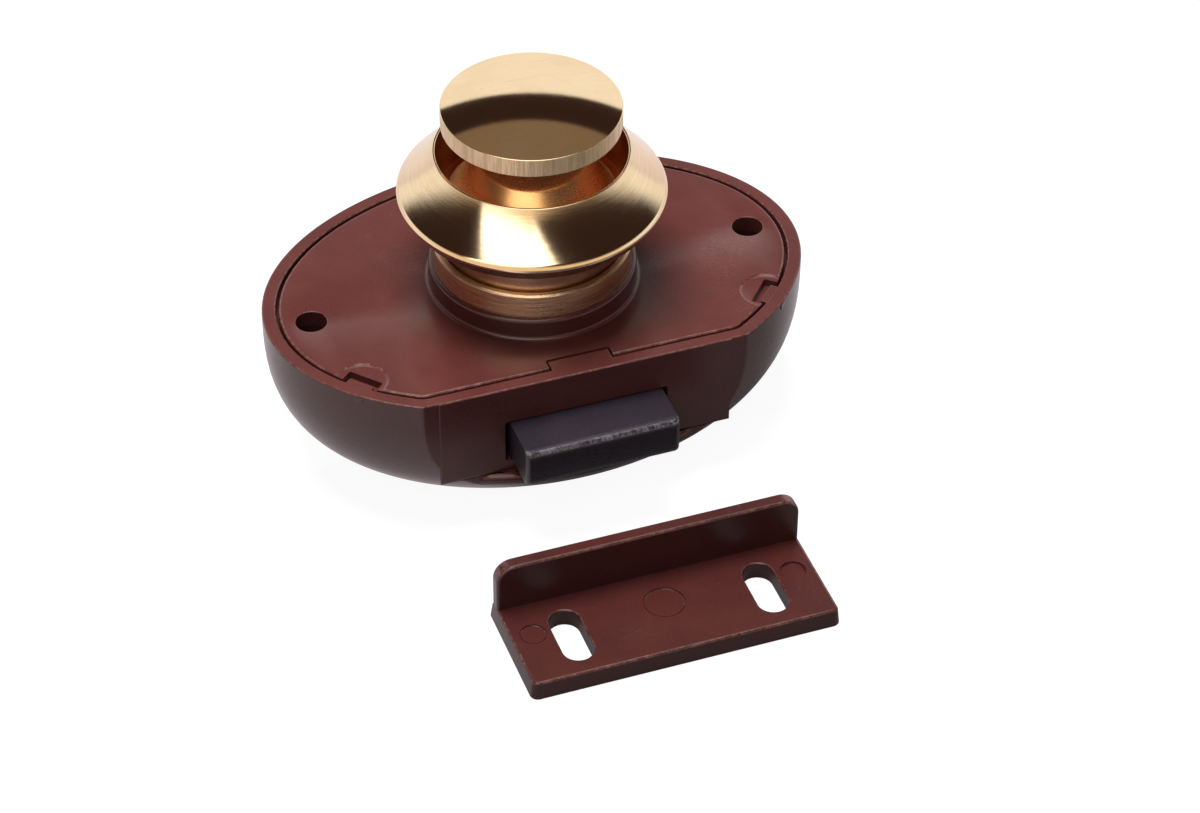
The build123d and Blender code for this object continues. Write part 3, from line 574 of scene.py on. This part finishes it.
def steelFinish(name, tone, rough, ring=0.002):
    # drawn or plated steel: lengthwise streaks and a little dull film
    material, sheet = newFinish(name)
    where = sheet.place(scale=(1, 1, 0.2))
    streaks = sheet.noise(where, 4200.0, 3.0, 0.6)
    film = sheet.noise(sheet.place(), 300.0, 3.0, 0.6)
    colour = sheet.mix(film.between(0.35, 0.8) * 0.4, tone, tuple(0.6 * c for c in tone[:3]) + (1,))
    roughness = rough + (streaks - 0.5) * 0.12
    normal = sheet.bump((streaks - 0.5) * ring, 0.6)
    sheet.solid(colour, roughness, normal, Metallic=1.0)
    return material


brownPlastic = plasticFinish("brownPlastic", plasticLook["case"])
strikePlastic = plasticFinish("strikePlastic", plasticLook["strike"], rough=0.30)
blackPlastic = plasticFinish("blackPlastic", plasticLook["bolt"], rough=0.33, grain=0.05, scuffs=0.8,
                             pitScale=2600.0)
# painted highlights: lighter, speckled copies of the plastics for the highlights on rounded edges
edgeHighlightBrown = plasticFinish("edgeHighlightBrown", plasticLook["case"], rough=0.2, highlightShare=0.36, highlightTone=(0.34, 0.17, 0.145, 1))
edgeHighlightStrike = plasticFinish("edgeHighlightStrike", plasticLook["strike"], rough=0.2, highlightShare=0.35,
                           highlightTone=(0.27, 0.13, 0.115, 1))
edgeHighlightBlack = plasticFinish("edgeHighlightBlack", plasticLook["bolt"], rough=0.2, grain=0.05, pitScale=2600.0, highlightShare=0.6,
                          highlightTone=(0.20, 0.185, 0.20, 1))
innerPlastic = plasticFinish("innerPlastic", plasticLook["inner"], rough=0.4)
plain = brassLook["plain"]
polishedBrass = brassFinish("polishedBrass", plain, 0.045, 0.0006, spread=0.035, strokes=0.14)
coneBrass = brassFinish("coneBrass", plain, 0.11, 0.0030, spread=0.08, ruled=0.10)
# painted light: a brighter, orange copy of the brass for the button's neck and skirt, for light bounced inside
# the rosette
paintedBounceBrass = brassFinish("paintedBounceBrass", brassLook["bouncedLight"], 0.27, 0.0030, metal=0.75)
# painted shade: a dark copy of the brass for the shade inside the rosette's bore
boreShadeBrass = brassFinish("boreShadeBrass", brassLook["bore"], 0.30, 0.0020, tarnish=0.8)
turnedBrass = brassFinish("turnedBrass", brassLook["turned"], 0.28, 0.05, tarnish=0.6, scale=3000.0, ruled=0.30)
# painted shade: a dark copy of the brass for the rosette's spigot and underside, which lie under its rim
neckShadeBrass = brassFinish("neckShadeBrass", brassLook["neck"], 0.30, 0.008, tarnish=0.6, scale=3000.0)
bandBrass = brassFinish("bandBrass", brassLook["band"], 0.36, 0.004, upright=0.09)
springSteel = steelFinish("springSteel", (0.42, 0.42, 0.43, 1), 0.28)
platedSteel = steelFinish("platedSteel", (0.62, 0.62, 0.58, 1), 0.32)
print("finishes made")


headShape = dict(
    crest=25.95, radius=11.15, band=2.45, dome=0.72, neck=6.3, neckFoot=17.8, neckTop=21.4, throat=0.9,
    skirt=10.55, skirtTop=12.9, foot=3.35, bore=9.3, roof=11.4, edge=0.10, bandEdge=0.12, under=(0.6, 0.45),
    soft=(0.15,) * 3, lift=0.005)


def makeButton():
    # profile: crown on a large sphere, a plain band, an undercut and a neck that flares into the skirt
    radius, crest, dome, edge, neck = pick(headShape, "radius crest dome edge neck")
    under, soft, skirt, bore = pick(headShape, "under soft skirt bore")
    top, throat, joint, shoulder, foot, roof = pick(headShape, "neckTop throat neckFoot skirtTop foot roof")
    ball = (radius ** 2 + dome ** 2) / (2 * dome)
    r = np.linspace(0.0, radius - edge, 60)
    crown = np.column_stack([r, crest - (ball - dome) + np.sqrt(ball ** 2 - r ** 2)])
    crown[:, 1] -= crown[-1, 1] - crest - headShape["lift"]
    low = crest - headShape["band"]
    corners = [tuple(crown[-1]), (radius, crest), (radius, low), (neck + under[0], low - under[1])]
    band = softPath(corners, (0, edge, headShape["bandEdge"], 0))[1:]
    skirt = softPath([(neck, top), (neck, joint), (skirt, shoulder), (skirt, foot), (bore, foot), (bore, roof),
                      (0.0, roof)], (0, throat) + soft + (0, 0), turnStep=5)
    return turnedPiece("buttonHead", np.vstack([crown, band, skirt]), 288)


rosetteShape = dict(
    mouth=11.85, lip=12.22, top=19.45, radius=16.75, edge=13.4, shoulder=14.05, base=15.4, baseTop=11.3,
    spigot=11.45, foot=3.4, bore=10.6, floor=12.3, hollow=0.14, below=0.1, within=0.25, turn=(0.06, 0.2, 0.15),
    rounds=(0, 0.35, 0.2, 0.2, 0.1, 0.1, 0.1, 0.1, 0.1, 0.14, 0.12, 0))


def makeRosette():
    # profile: lip, a very slightly hollow cone, a rounded rim, an underside bevel and the spigot
    s = rosetteShape
    mouth, top, spigot, foot, bore, floor = pick(s, "mouth top spigot foot bore floor")
    start = np.array((s["lip"], top - s["below"]))
    end = np.array((s["radius"] - s["within"], s["shoulder"]))
    t = np.linspace(0, 1, 44)[:, None]
    across = np.array((end[1] - start[1], start[0] - end[0])) / np.linalg.norm(end - start)
    cone = start + (end - start) * t + across * (4 * t * (1 - t)) * s["hollow"]
    back, over, under = s["turn"]
    rim = softPath([tuple(cone[-1]), (s["radius"], s["edge"] + over), (s["radius"] - back, s["edge"] - under),
                    (s["base"], s["baseTop"]), (spigot, s["baseTop"]), (spigot, foot), (bore, foot),
                    (bore, floor), (mouth, floor), (mouth, top), (s["lip"], top), tuple(cone[0])],
                   s["rounds"], turnStep=10)
    return turnedPiece("rosetteRing", np.vstack([cone, rim[1:-1]]), 288, closed=True)


sleeveShape = dict(
    radius=12.5, foot=2.95, top=6.3, bore=11.5, shank=12.2, bottom=-3.6, groove=11.85, grooveTop=-2.2,
    grooveFoot=-3.05, chamfer=0.25, rounds=(0.06, 0.06, 0.06, 0.06, 0.08, 0, 0, 0, 0, 0, 0.1, 0.1))


def makeSleeve():
    # profile: a shoulder for the collar with broken edges, and a shank with the circlip's groove
    bore, wide, top, foot, shank, bottom = pick(sleeveShape, "bore radius top foot shank bottom")
    groove, high, low, cut, rounds = pick(sleeveShape, "groove grooveTop grooveFoot chamfer rounds")
    profile = softPath([(bore, top - cut), (bore + cut, top), (wide - cut, top), (wide, top - cut), (wide, foot),
                        (shank, foot), (shank, high), (groove, high), (groove, low), (shank, low),
                        (shank, bottom), (bore, bottom)], rounds, closed=True)
    return turnedPiece("sleeveBarrel", profile, 256, closed=True)


def paintFaces(piece, finish, chosen):
    # gives the faces for which chosen(middles in millimetres, normals) is true a second finish
    mesh = piece.data
    count = len(mesh.polygons)
    middle, normal, index = np.zeros(count * 3), np.zeros(count * 3), np.zeros(count, np.int32)
    for key, values in (("center", middle), ("normal", normal), ("material_index", index)):
        mesh.polygons.foreach_get(key, values)
    mesh.materials.append(finish)
    index[chosen(middle.reshape(-1, 3) / mm, normal.reshape(-1, 3))] = len(mesh.materials) - 1
    mesh.polygons.foreach_set("material_index", index)


def offAxis(p):
    return np.hypot(p[:, 0], p[:, 1])


areas = dict(
    bandFoot=23.3, bandIn=11, neckTop=23.45, neckOut=11.05, mouthTop=19.3, mouthOut=11.87, spigotTop=11.25)
button = dress(makeButton(), polishedBrass, "button", "turned_brass", "button")
paintFaces(button, bandBrass, lambda p, n: (abs(n[:, 2]) < 0.5) & (p[:, 2] > areas["bandFoot"])
           & (offAxis(p) > areas["bandIn"]))
# painted light on the button's neck and skirt
paintFaces(button, paintedBounceBrass, lambda p, n: (p[:, 2] < areas["neckTop"]) & (offAxis(p) < areas["neckOut"]))
rosette = dress(makeRosette(), coneBrass, "lock", "turned_brass", "rosette")
# painted shade inside the rosette's bore, and on its spigot under the rim
paintFaces(rosette, boreShadeBrass, lambda p, n: (offAxis(p) < areas["mouthOut"]) & (p[:, 2] < areas["mouthTop"]))
paintFaces(rosette, neckShadeBrass, lambda p, n: p[:, 2] < areas["spigotTop"])
dress(makeSleeve(), turnedBrass, "lock", "turned_brass", "threaded_sleeve")
print("brass pieces made")


caseShape = dict(
    length=69.4, breadth=49.4, height=20.4, shift=0.5, front=20.35, proud=0.16, flatHalf=18.9, flatFoot=13.0,
    band=1.1, pad=0.27, roundness=2.8, rim=1.7, wall=2.6, floor=18.4, corner=3.0, plate=2.2, shoulder=1.6,
    screws=28.9, bossRadius=4.2, holeRadius=2.4, recessRadius=3.3, recessTop=-11.0,
    opening=((-10.58, -27.0, -11.43), (10.58, -17.70, -5.23), 0.35), clips=(26.35, -12.9, 41.4), edge=0.22,
    backPoints=420, frontPoints=121,
    levels=(0.3, 0.8, 1.1, 2.0, 3.2, 4.6, 6.0, 7.4, 8.8, 10.0, 11.2, 12.2, 12.7),
    flatEnd=((12.9, 0.02), (12.97, 0.07), (13.0, 0.14)),
    tab=((-3.875, -19.5, -1.15), (3.875, -16.95, -0.03), 0.15, 0.12),
    hook=((-0.05, -1.75, -1.15), (2.7, 1.75, -0.35), 0.2, 0.15))


def cutOvalLoop(inset, front, spacing=0.16):
    # the oval with its front straight at y = -front and its two corners rounded
    a, b = caseShape["length"] / 2 - inset, caseShape["breadth"] / 2 - inset
    shift, corner = caseShape["shift"], caseShape["corner"]
    low = math.asin((shift - front) / b)
    angle = np.linspace(low, math.pi - low, 500)
    arc = onEllipse(a, b, angle) - (0, shift)
    # each corner's circle lies against the straight and inside the oval, and runs to where it meets the oval
    x, y = np.linspace(0.3 * a, a - corner, 4000), corner - front
    x = x[np.argmin(abs(np.hypot(x / (a - corner), (y + shift) / (b - corner)) - 1))]
    first, last = (math.atan2((y + shift) / b ** 2, k * x / a ** 2) for k in (1, -1))
    right = onEllipse(corner, corner, np.linspace(-math.pi / 2, first, 24)) + (x, y)
    left = onEllipse(corner, corner, np.linspace(last + full, 1.5 * math.pi, 24)) + (-x, y)
    return evenLoop(np.vstack([right, arc[arc[:, 1] > right[-1, 1] + 0.05], left]), spacing)


def bowlRing(inset, depth, height):
    # semi-axes of the bowl's oval at a depth below its rim: share = pad + (1 - pad) cos^(2/n)
    s = caseShape
    if depth <= s["band"]:
        share = 1.0
    else:
        sine = min(((depth - s["band"]) / (height - s["band"])) ** (s["roundness"] / 2), 1.0)
        share = s["pad"] + (1 - s["pad"]) * max(1 - sine ** 2, 0.0) ** (1 / s["roundness"])
    return (s["length"] / 2 - inset) * share, (s["breadth"] / 2 - inset) * share


def caseRing(depth, inset=0.0, cut=True, flatInset=0.0, ledge=0.0):
    # one level of the outside: the back's long arc, then the front, straight where the flat is; its points
    # run up the small step beside the flat, and below the flat the ledge draws the front in
    s = caseShape
    a, b = bowlRing(0, depth, s["height"])
    a, b = a - inset, b - inset
    plane = s["front"] - s["proud"]
    low = math.asin(max((s["shift"] - plane) / b, -1.0))
    angle = np.linspace(low, math.pi - low, s["backPoints"])
    arc = onEllipse(a, b, angle) - (0, s["shift"])
    if not cut:
        angle = np.linspace(math.pi - low, full + low, s["frontPoints"])[1:-1]
        y = b * np.sin(angle) - s["shift"]
        y = np.where(y < -s["front"], np.minimum(y + ledge, -s["front"]), y)
        return np.vstack([arc, np.column_stack([a * np.cos(angle), y])])
    y, half = s["front"] - inset - flatInset, s["flatHalf"]
    steps = [(-half - 0.02, plane), (-half, plane + 0.01), (-half, y - 0.06), (-half + 0.02, y - 0.02),
             (-half + 0.06, y), (-half + 0.12, y)]
    shelf = np.array([(x, -min(v, s["front"])) for x, v in steps])
    lead = np.column_stack([np.linspace(arc[-1, 0], -half - 0.04, 9)[1:], np.full(8, -plane + inset)])
    middle = np.linspace(-half + 0.3, half - 0.3, 91)
    flat = np.column_stack([middle, np.full(91, -y)])
    return np.vstack([arc, lead, shelf, flat, shelf[::-1] * (-1, 1), lead[::-1] * (-1, 1)])


def stackRings(name, rings, heights):
    # closes a stack of rings of equal point counts into a solid
    count = len(rings[0])
    starts = [k * count for k in range(len(rings))]
    points = np.vstack([np.column_stack([ring, np.full(count, z)]) for ring, z in zip(rings, heights)])
    sides = np.vstack([ringFaces(count, a, b) for a, b in zip(starts[:-1], starts[1:])])
    caps = np.vstack([capFaces([rings[k]], [starts[k]]) for k in (0, -1)])
    return meshPiece(name, points, [sides, caps])


def spreadRing(ring, count):
    # adds points on the ring's front so that every level has the same number
    arc, front = np.split(ring, [caseShape["backPoints"]])
    at = np.linspace(0, len(front) - 1, count - len(arc))
    more = np.column_stack([np.interp(at, np.arange(len(front)), front[:, k]) for k in (0, 1)])
    return np.vstack([arc, more])


def makeOuter():
    # a rounded rim, the cut front, the ledge under it with its shoulder, and the foot, whose depths follow
    # band + (height - band) sin^(2/n)
    s = caseShape
    edge, r = s["edge"], s["shoulder"]
    rows = [(0.0, edge + 0.03, True, 0)]
    rows += [(edge - edge * math.sin(t), edge - edge * math.cos(t)) for t in np.linspace(math.pi / 2, 0, 5)]
    rows += [(depth,) for depth in s["levels"]]
    rows += [(depth, 0.0, True, back) for depth, back in s["flatEnd"]]
    turns = np.linspace(0, math.pi / 2, 10)
    rows += [(s["flatFoot"] + r * (1 - math.cos(t)), 0.0, False, 0, r * (1 - math.sin(t))) for t in turns]
    deep, fall = s["flatFoot"] + r + 0.03, s["height"] - s["band"]
    start = math.asin(((deep - s["band"]) / fall) ** (s["roundness"] / 2))
    rows += [(s["band"] + fall * math.sin(t) ** (2 / s["roundness"]), 0.0, False)
             for t in np.linspace(start, math.pi / 2, 28)]
    rings = [caseRing(*row) for row in rows]
    count = max(len(ring) for ring in rings)
    return stackRings("caseShell", [spreadRing(ring, count) for ring in rings], [-row[0] for row in rows])


cavityShape = dict(
    mouth=((-0.15, 0.0), (-0.08, -0.05), (-0.02, -0.13), (0.0, -0.15), (0.5, -0.15)), points=480,
    depths=(1.5, 2.2, 4.0, 6.0, 8.0, 10.0, 12.0, 13.5, 15.0, 16.2, 17.2, 17.9, 18.3, 18.4),
    wall=((-9.0, 19.6, -25), (9.0, 22.0, -5.6)), post=(2.2, -25, -16.4),
    lug=((-2.2, 8.0, -25), (2.2, 10.6, -14.62)), rails=((7.2, 11.8, -10.88), (10.0, 11.8, -6.13)), railEnd=15.5,
    railStep=0.01, under=-25)


def makeCavity():
    # what the shell leaves free: the cover's recess and the bowl's inside, less the posts, rails and walls
    s, c = caseShape, cavityShape
    levels = [(-s["plate"], 0.0)] + list(c["mouth"])
    recess = platePiece("recess", [cutOvalLoop(s["rim"], s["front"] - s["rim"])], levels)
    angle = np.linspace(0, full, c["points"], endpoint=False) - math.pi / 2
    rings = [onEllipse(*bowlRing(s["wall"], depth, s["floor"]), angle) - (0, s["shift"]) for depth in c["depths"]]
    for ring in rings:                                   # the front wall stays upright
        ring[:, 1] = np.maximum(ring[:, 1], s["wall"] - s["front"])
    cavity, under = stackRings("cavity", rings, [-depth for depth in c["depths"]]), c["under"]
    solids = [blockPiece("wall", *c["wall"]), rodPiece("post", *c["post"]), blockPiece("lug", *c["lug"])]
    for side in (-1, 1):
        solids.append(rodPiece("boss", s["bossRadius"], under, 0, side * s["screws"]))
        for left, right, top in c["rails"]:
            x, rear = sorted((side * left, side * right)), c["railEnd"] - c["railStep"] * left
            solids.append(blockPiece("rail", (x[0], under, under), (x[1], rear, top)))
    for solid in solids:
        cavity = carved(cavity, solid)
    return carved(cavity, recess, "UNION")


def clipPlaced(piece, side):
    # onto the line of one of the two clips, pointing outwards
    x, y, turn = caseShape["clips"]
    return placed(piece, side * x, y, 0, -turn if side > 0 else 180 + turn)


def makeCase():
    # the shell less the cavity, the bolt's opening and the screws' holes; then the snap hooks and the tab
    s, under = caseShape, cavityShape["under"]
    shell = carved(makeOuter(), makeCavity())
    shell = carved(shell, blockPiece("opening", *s["opening"], along="y"))
    extras = [blockPiece("tab", *s["tab"])]
    for side in (-1, 1):
        shell = carved(shell, rodPiece("hole", s["holeRadius"], under, 2, side * s["screws"]))
        shell = carved(shell, rodPiece("recess", s["recessRadius"], under, s["recessTop"], side * s["screws"]))
        extras.append(clipPlaced(blockPiece("hook", *s["hook"]), side))
    return joined("caseBody", [shell] + extras)


coverShape = dict(
    inset=2.1, front=18.25, low=-2.2, step=-1.2, edge=0.35, holeEdge=0.12, bore=12.25, hole=1.95,
    notch=(1.05, 2.35, 8, 0.25), dish=(3.3, 0.25), tab=(4.125, -16.70, -22, 0.3), collar=13.05, collarTop=2.95,
    sunk=-1.0, crown=0.6, foot=0.5, rib=(7.2, 9.2, -17.45, -14.05, -5.38, -1.3))


def makeCover():
    # a plate cut down to a step for the clips and the front tab, with shallow dishes round the clips; the
    # collar; two ribs below
    s = coverShape
    outline = cutOvalLoop(s["inset"], s["front"], 0.1)
    holes = [circleLoop(k * caseShape["screws"], 0, s["hole"], 64) for k in (-1, 1)]
    holes.append(circleLoop(0, 0, s["bore"], 128))
    crown, edge = roundedLevels(s["low"], 0.0, 0, s["edge"], 6), s["holeEdge"]
    soft = [(z, max(0.0, edge - math.sqrt(max(edge ** 2 - max(z + edge, 0.0) ** 2, 0.0)))) for z, _ in crown]
    lay = platePiece("plate", [outline] + holes, [crown] + [soft] * 3)
    half, rear, ahead, corner = s["tab"]
    lay = carved(lay, blockPiece("step", (-half, ahead, s["step"]), (half, rear, 2), corner))
    radius, deep = s["dish"]
    lens = [(0, -deep), (radius - 0.45, -deep), (radius - 0.2, -deep * 0.75), (radius, 0.0), (radius + 0.05, 1),
            (0, 1)]
    near, half, far, corner = s["notch"]
    x, y = caseShape["clips"][:2]
    for side in (-1, 1):
        lay = carved(lay, placed(turnedPiece("dish", lens, 96), side * x, y))
        notch = blockPiece("notch", (-near, -half, s["step"]), (far, half, 2), corner)
        lay = carved(lay, clipPlaced(notch, side))
    wide = s["collar"] + s["foot"]
    ring = softPath([(s["bore"], s["sunk"]), (wide, s["sunk"]), (wide, 0.0)], 0)
    t = np.linspace(0, math.pi / 2, 7)
    fillet = np.column_stack([s["collar"] + s["foot"] * (1 - np.sin(t)), s["foot"] * (1 - np.cos(t))])
    top = softPath([(s["collar"], s["foot"] + 0.01), (s["collar"], s["collarTop"]),
                    (s["bore"], s["collarTop"])], (0, s["crown"], 0), turnStep=10)
    collar = turnedPiece("collar", np.vstack([ring, fillet[1:], top]), 256, closed=True)
    near, far, front, rear, low, high = s["rib"]
    across = [sorted((side * near, side * far)) for side in (-1, 1)]
    ribs = [blockPiece("rib", (x[0], front, low), (x[1], rear, high), 0.1, 0.1) for x in across]
    return joined("coverPlate", [lay, collar] + ribs)


boltShape = dict(
    half=9.93, nose=-26.8, tail=12.0, low=-10.83, high=-5.43, crown=1.0, foot=1.2, side=0.7, tailRound=0.3,
    edge=0.18, window=(6.85, -11.3, 7.0, 0.2), lean=-22, pocket=(2.3, 8.4, 14.0), pocketAt=(5.8, -8.13),
    ramp=(4.75, 6.9), rampSide=(-1.76, 3.64, 7.05))


def makeBolt():
    # a block whose nose leans back by 1 - sqrt(1 - t^2) over its crown and foot, with the plunger's window
    s = boltShape
    half, low, high = s["half"], s["low"], s["high"]
    rounds = (s["side"], s["side"], s["tailRound"], s["tailRound"])
    outline = boxLoop(-half, s["nose"], half, s["tail"], rounds)
    w, front, rear, corner = s["window"]
    window = boxLoop(-w, front, w, rear, corner)
    rise = 1 - np.cos(np.linspace(0, math.pi / 2, 9))
    heights = np.unique(np.r_[low + s["foot"] * rise, high - s["crown"] * rise, low + s["edge"] * rise[::2],
                              high - s["edge"] * rise[::2]])
    reach = np.clip(1 - np.minimum(heights - low, high - heights) / s["edge"], 0, 1)
    levels = [(z, s["edge"] * (1 - math.sqrt(1 - k * k))) for z, k in zip(heights, reach)]
    levels = [(low, s["edge"] + 0.04)] + levels + [(high, s["edge"] + 0.04)]
    points, sets = platePiece("bolt", [outline, window], levels, make=False)
    crown = np.clip(1 - (high - points[:, 2]) / s["crown"], 0, 1)
    foot = np.clip(1 - (points[:, 2] - low) / s["foot"], 0, 1)
    back = s["crown"] * (1 - np.sqrt(1 - crown ** 2)) + s["foot"] * (1 - np.sqrt(1 - foot ** 2))
    points[:, 1] += back * np.clip((s["lean"] - points[:, 1]) / (s["lean"] - s["nose"]), 0, 1)
    body = meshPiece("bolt", points, sets)
    front, middle, rear = s["rampSide"]
    side = np.array([(front, low), (rear, low), (rear, high - 0.02), (middle, high - 0.02)])
    (x, z), (near, far), ramps = s["pocketAt"], s["ramp"], []
    for k in (-1, 1):
        rod = placed(rodPiece("pocket", *s["pocket"]), turn=-90, axis="X")
        body = carved(body, placed(rod, k * x, 0, z))
        ends = [(at, 0.0) for at in sorted((k * near, k * far))]
        wedge, faces = platePiece("ramp", [side], ends, make=False)
        ramps.append(meshPiece("ramp", wedge[:, [2, 0, 1]], faces))
    return joined("boltBody", [body] + ramps)


strikeShape = dict(
    half=19.7, deep=13.6, thick=2.5, tall=9.0, flange=2.0, draft=0.25, edge=0.4, round=2.3, corner=1.0,
    crown=0.25, slot=(12.45, -6.8, 1.95, 8.8), place=(1.5, -38.85, -20.4), markLine=-5.2,
    marks=((-16.7, 1.6, 0.12), (0.0, 2.5, 0.12), (16.7, 1.6, 0.35)))


def makeStrike():
    # a drafted foot with two slots and three sink marks, and an upright flange with rounded upper corners
    s = strikeShape
    half, rear = s["half"], s["flange"]
    outline = boxLoop(-half, -s["deep"], half, rear, (s["corner"], s["corner"], 0, 0))
    x, y, r, length = s["slot"]
    run = length / 2 - r
    turn = np.linspace(0, math.pi, 33)
    ends = [onEllipse(r, r, turn + k) + (0, rise) for k, rise in ((0, run), (math.pi, -run))]
    slots = [np.vstack(ends) + (k * x, y) for k in (-1, 1)]
    t = np.linspace(0, math.pi / 2, 7)
    rows = [(0.0, 0.12), (0.04, 0.05), (0.12, 0.0), (0.15, 0.0)]
    thick, edge = s["thick"], s["edge"]
    rows += [(thick - edge + edge * math.sin(a), s["draft"] * 0.84 + edge * (1 - math.cos(a))) for a in t]
    rows.append((thick, rows[-1][1] + 0.04))
    heights = [z for z, _ in rows]
    hole = [(z, max(0.16 - (thick - z), 0.0) ** 2 * 6.0 + max(0.12 - z, 0)) for z in heights]
    hole[-1] = (thick, hole[-1][1] + 0.04)
    foot = platePiece("foot", [outline] + slots, [rows, hole, hole])
    for place, radius, deep in s["marks"]:
        mark = [(0, thick - deep), (radius - 0.12, thick - deep), (radius, thick + 0.03), (radius, 4), (0, 4)]
        foot = carved(foot, placed(turnedPiece("mark", mark, 72), place, s["markLine"]))
        groove = [(radius - 0.05, thick - 0.2), (radius + 0.05, thick - 0.2), (radius + 0.07, 4),
                  (radius - 0.12, 4)]
        foot = carved(foot, placed(turnedPiece("groove", groove, 72, closed=True), place, s["markLine"]))
    across = half - s["draft"]
    wall = boxLoop(-across, 0, across, s["tall"], (0, 0, s["round"], s["round"]))
    levels = roundedLevels(0, rear - s["draft"], edge, s["crown"])
    points, sets = platePiece("flange", [wall], levels, make=False)
    flange = meshPiece("flange", points[:, [0, 2, 1]], sets)
    return placed(joined("strikeBody", [foot, flange]), *s["place"])


springShape = dict(button_spring=dict(
    radius=3.05, wire=0.29, turns=8.6, foot=(0, 0, -18.38), length=16.28, along="z", joint="button_press",
    fixed=(0, 0, -18.4), travel=6.5))
for side, x in (("left", -5.8), ("right", 5.8)):
    springShape["bolt_spring_" + side] = dict(
        radius=1.7, wire=0.21, turns=9.0, foot=(x, 8.43, -8.13), length=11.13, along="y",
        joint="bolt_throw", fixed=(x, 19.6, -8.13), travel=6.5)
coil = dict(steps=40, sides=12, closed=0.9, pitch=2.1, ease=6)     # steps a turn, closed turns at each end


def makeSpring(name, s):
    # a round wire carried along a helix; the first and last turns lie close, as on a ground spring, at a
    # pitch given in wire radii, which eases into the open turns' pitch
    steps, sides, close = int(s["turns"] * coil["steps"]), coil["sides"], coil["closed"]
    t = np.linspace(0, s["turns"], steps)
    low, tall = s["wire"] * coil["pitch"], s["length"] - 2 * s["wire"]
    active = (t >= close) & (t <= s["turns"] - close)
    pitch = np.where(active, (tall - 2 * close * low) / (s["turns"] - 2 * close), low)
    window = np.full(2 * coil["ease"] + 1, 1 / (2 * coil["ease"] + 1))
    pitch = np.convolve(np.pad(pitch, coil["ease"], "edge"), window, "valid")
    height = np.r_[0, np.cumsum((pitch[1:] + pitch[:-1]) / 2 * np.diff(t))]
    height = s["wire"] + height * tall / height[-1]
    angle = full * t
    path = np.column_stack([onEllipse(s["radius"], s["radius"], angle), height])
    ahead = np.gradient(path, axis=0)
    ahead /= np.linalg.norm(ahead, axis=1)[:, None]
    outward = np.column_stack([onEllipse(1, 1, angle), 0 * angle])
    across = np.cross(ahead, outward)
    turn = np.linspace(0, full, sides, endpoint=False)[None, :, None]
    ring = outward[:, None] * np.cos(turn) + across[:, None] * np.sin(turn)
    points = (path[:, None] + ring * s["wire"]).reshape(-1, 3)
    faces = np.vstack([ringFaces(sides, k * sides, (k + 1) * sides) for k in range(steps - 1)])
    ends = np.array([np.arange(sides), np.arange(sides)[::-1] + (steps - 1) * sides])
    if s["along"] == "y":
        points = points[:, [0, 2, 1]]
    return meshPiece(name, points + np.array(s["foot"]), [faces, ends], 50)


case = dress(makeCase(), brownPlastic, "lock", "brown_plastic", "case")
print("case made")
cover = dress(makeCover(), brownPlastic, "lock", "brown_plastic", "cover_plate")
print("cover plate made")
bolt = dress(makeBolt(), blackPlastic, "bolt", "black_plastic", "bolt")
strike = dress(makeStrike(), strikePlastic, "lock", "strike_plastic", "strike_plate")


def rounded(n, low=0.2, high=0.96):                      # faces that slope between upright and level
    return (n[:, 2] > low) & (n[:, 2] < high)


# painted highlights: the rounded edges of the case's rim, the cover, the bolt's nose and the strike get the
# lighter, speckled copies
paintFaces(case, edgeHighlightBrown, lambda p, n: rounded(n) & (p[:, 2] > -0.3))
paintFaces(cover, edgeHighlightBrown, lambda p, n: rounded(n) & (abs(p[:, 2]) < 0.4) & (offAxis(p) > 14))
paintFaces(bolt, edgeHighlightBlack, lambda p, n: rounded(n, 0.35, 0.93) & (n[:, 1] < -0.25) & (p[:, 1] < -25))
paintFaces(strike, edgeHighlightStrike, lambda p, n: rounded(n))
print("bolt and strike made")

for node, s in springShape.items():
    spring = dress(makeSpring("coiled_" + node, s), springSteel, "lock", "spring_steel", node)
    1 - s["travel"] / s["length"]
    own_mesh(spring)
print("springs made")

innerFinishes = dict(
    sleeve_circlip=springSteel, catch_wire=springSteel, catch_leaf=springSteel, spring_pin_left=platedSteel,
    spring_pin_right=platedSteel, button_screw=platedSteel, screw_washer=platedSteel, leaf_screw=platedSteel,
    plunger=innerPlastic)
for node, finish in innerFinishes.items():               # these keep their CAD shape
    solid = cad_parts[node]
    solid.data.materials.clear()
    solid.data.materials.append(finish)
print("inner pieces finished")
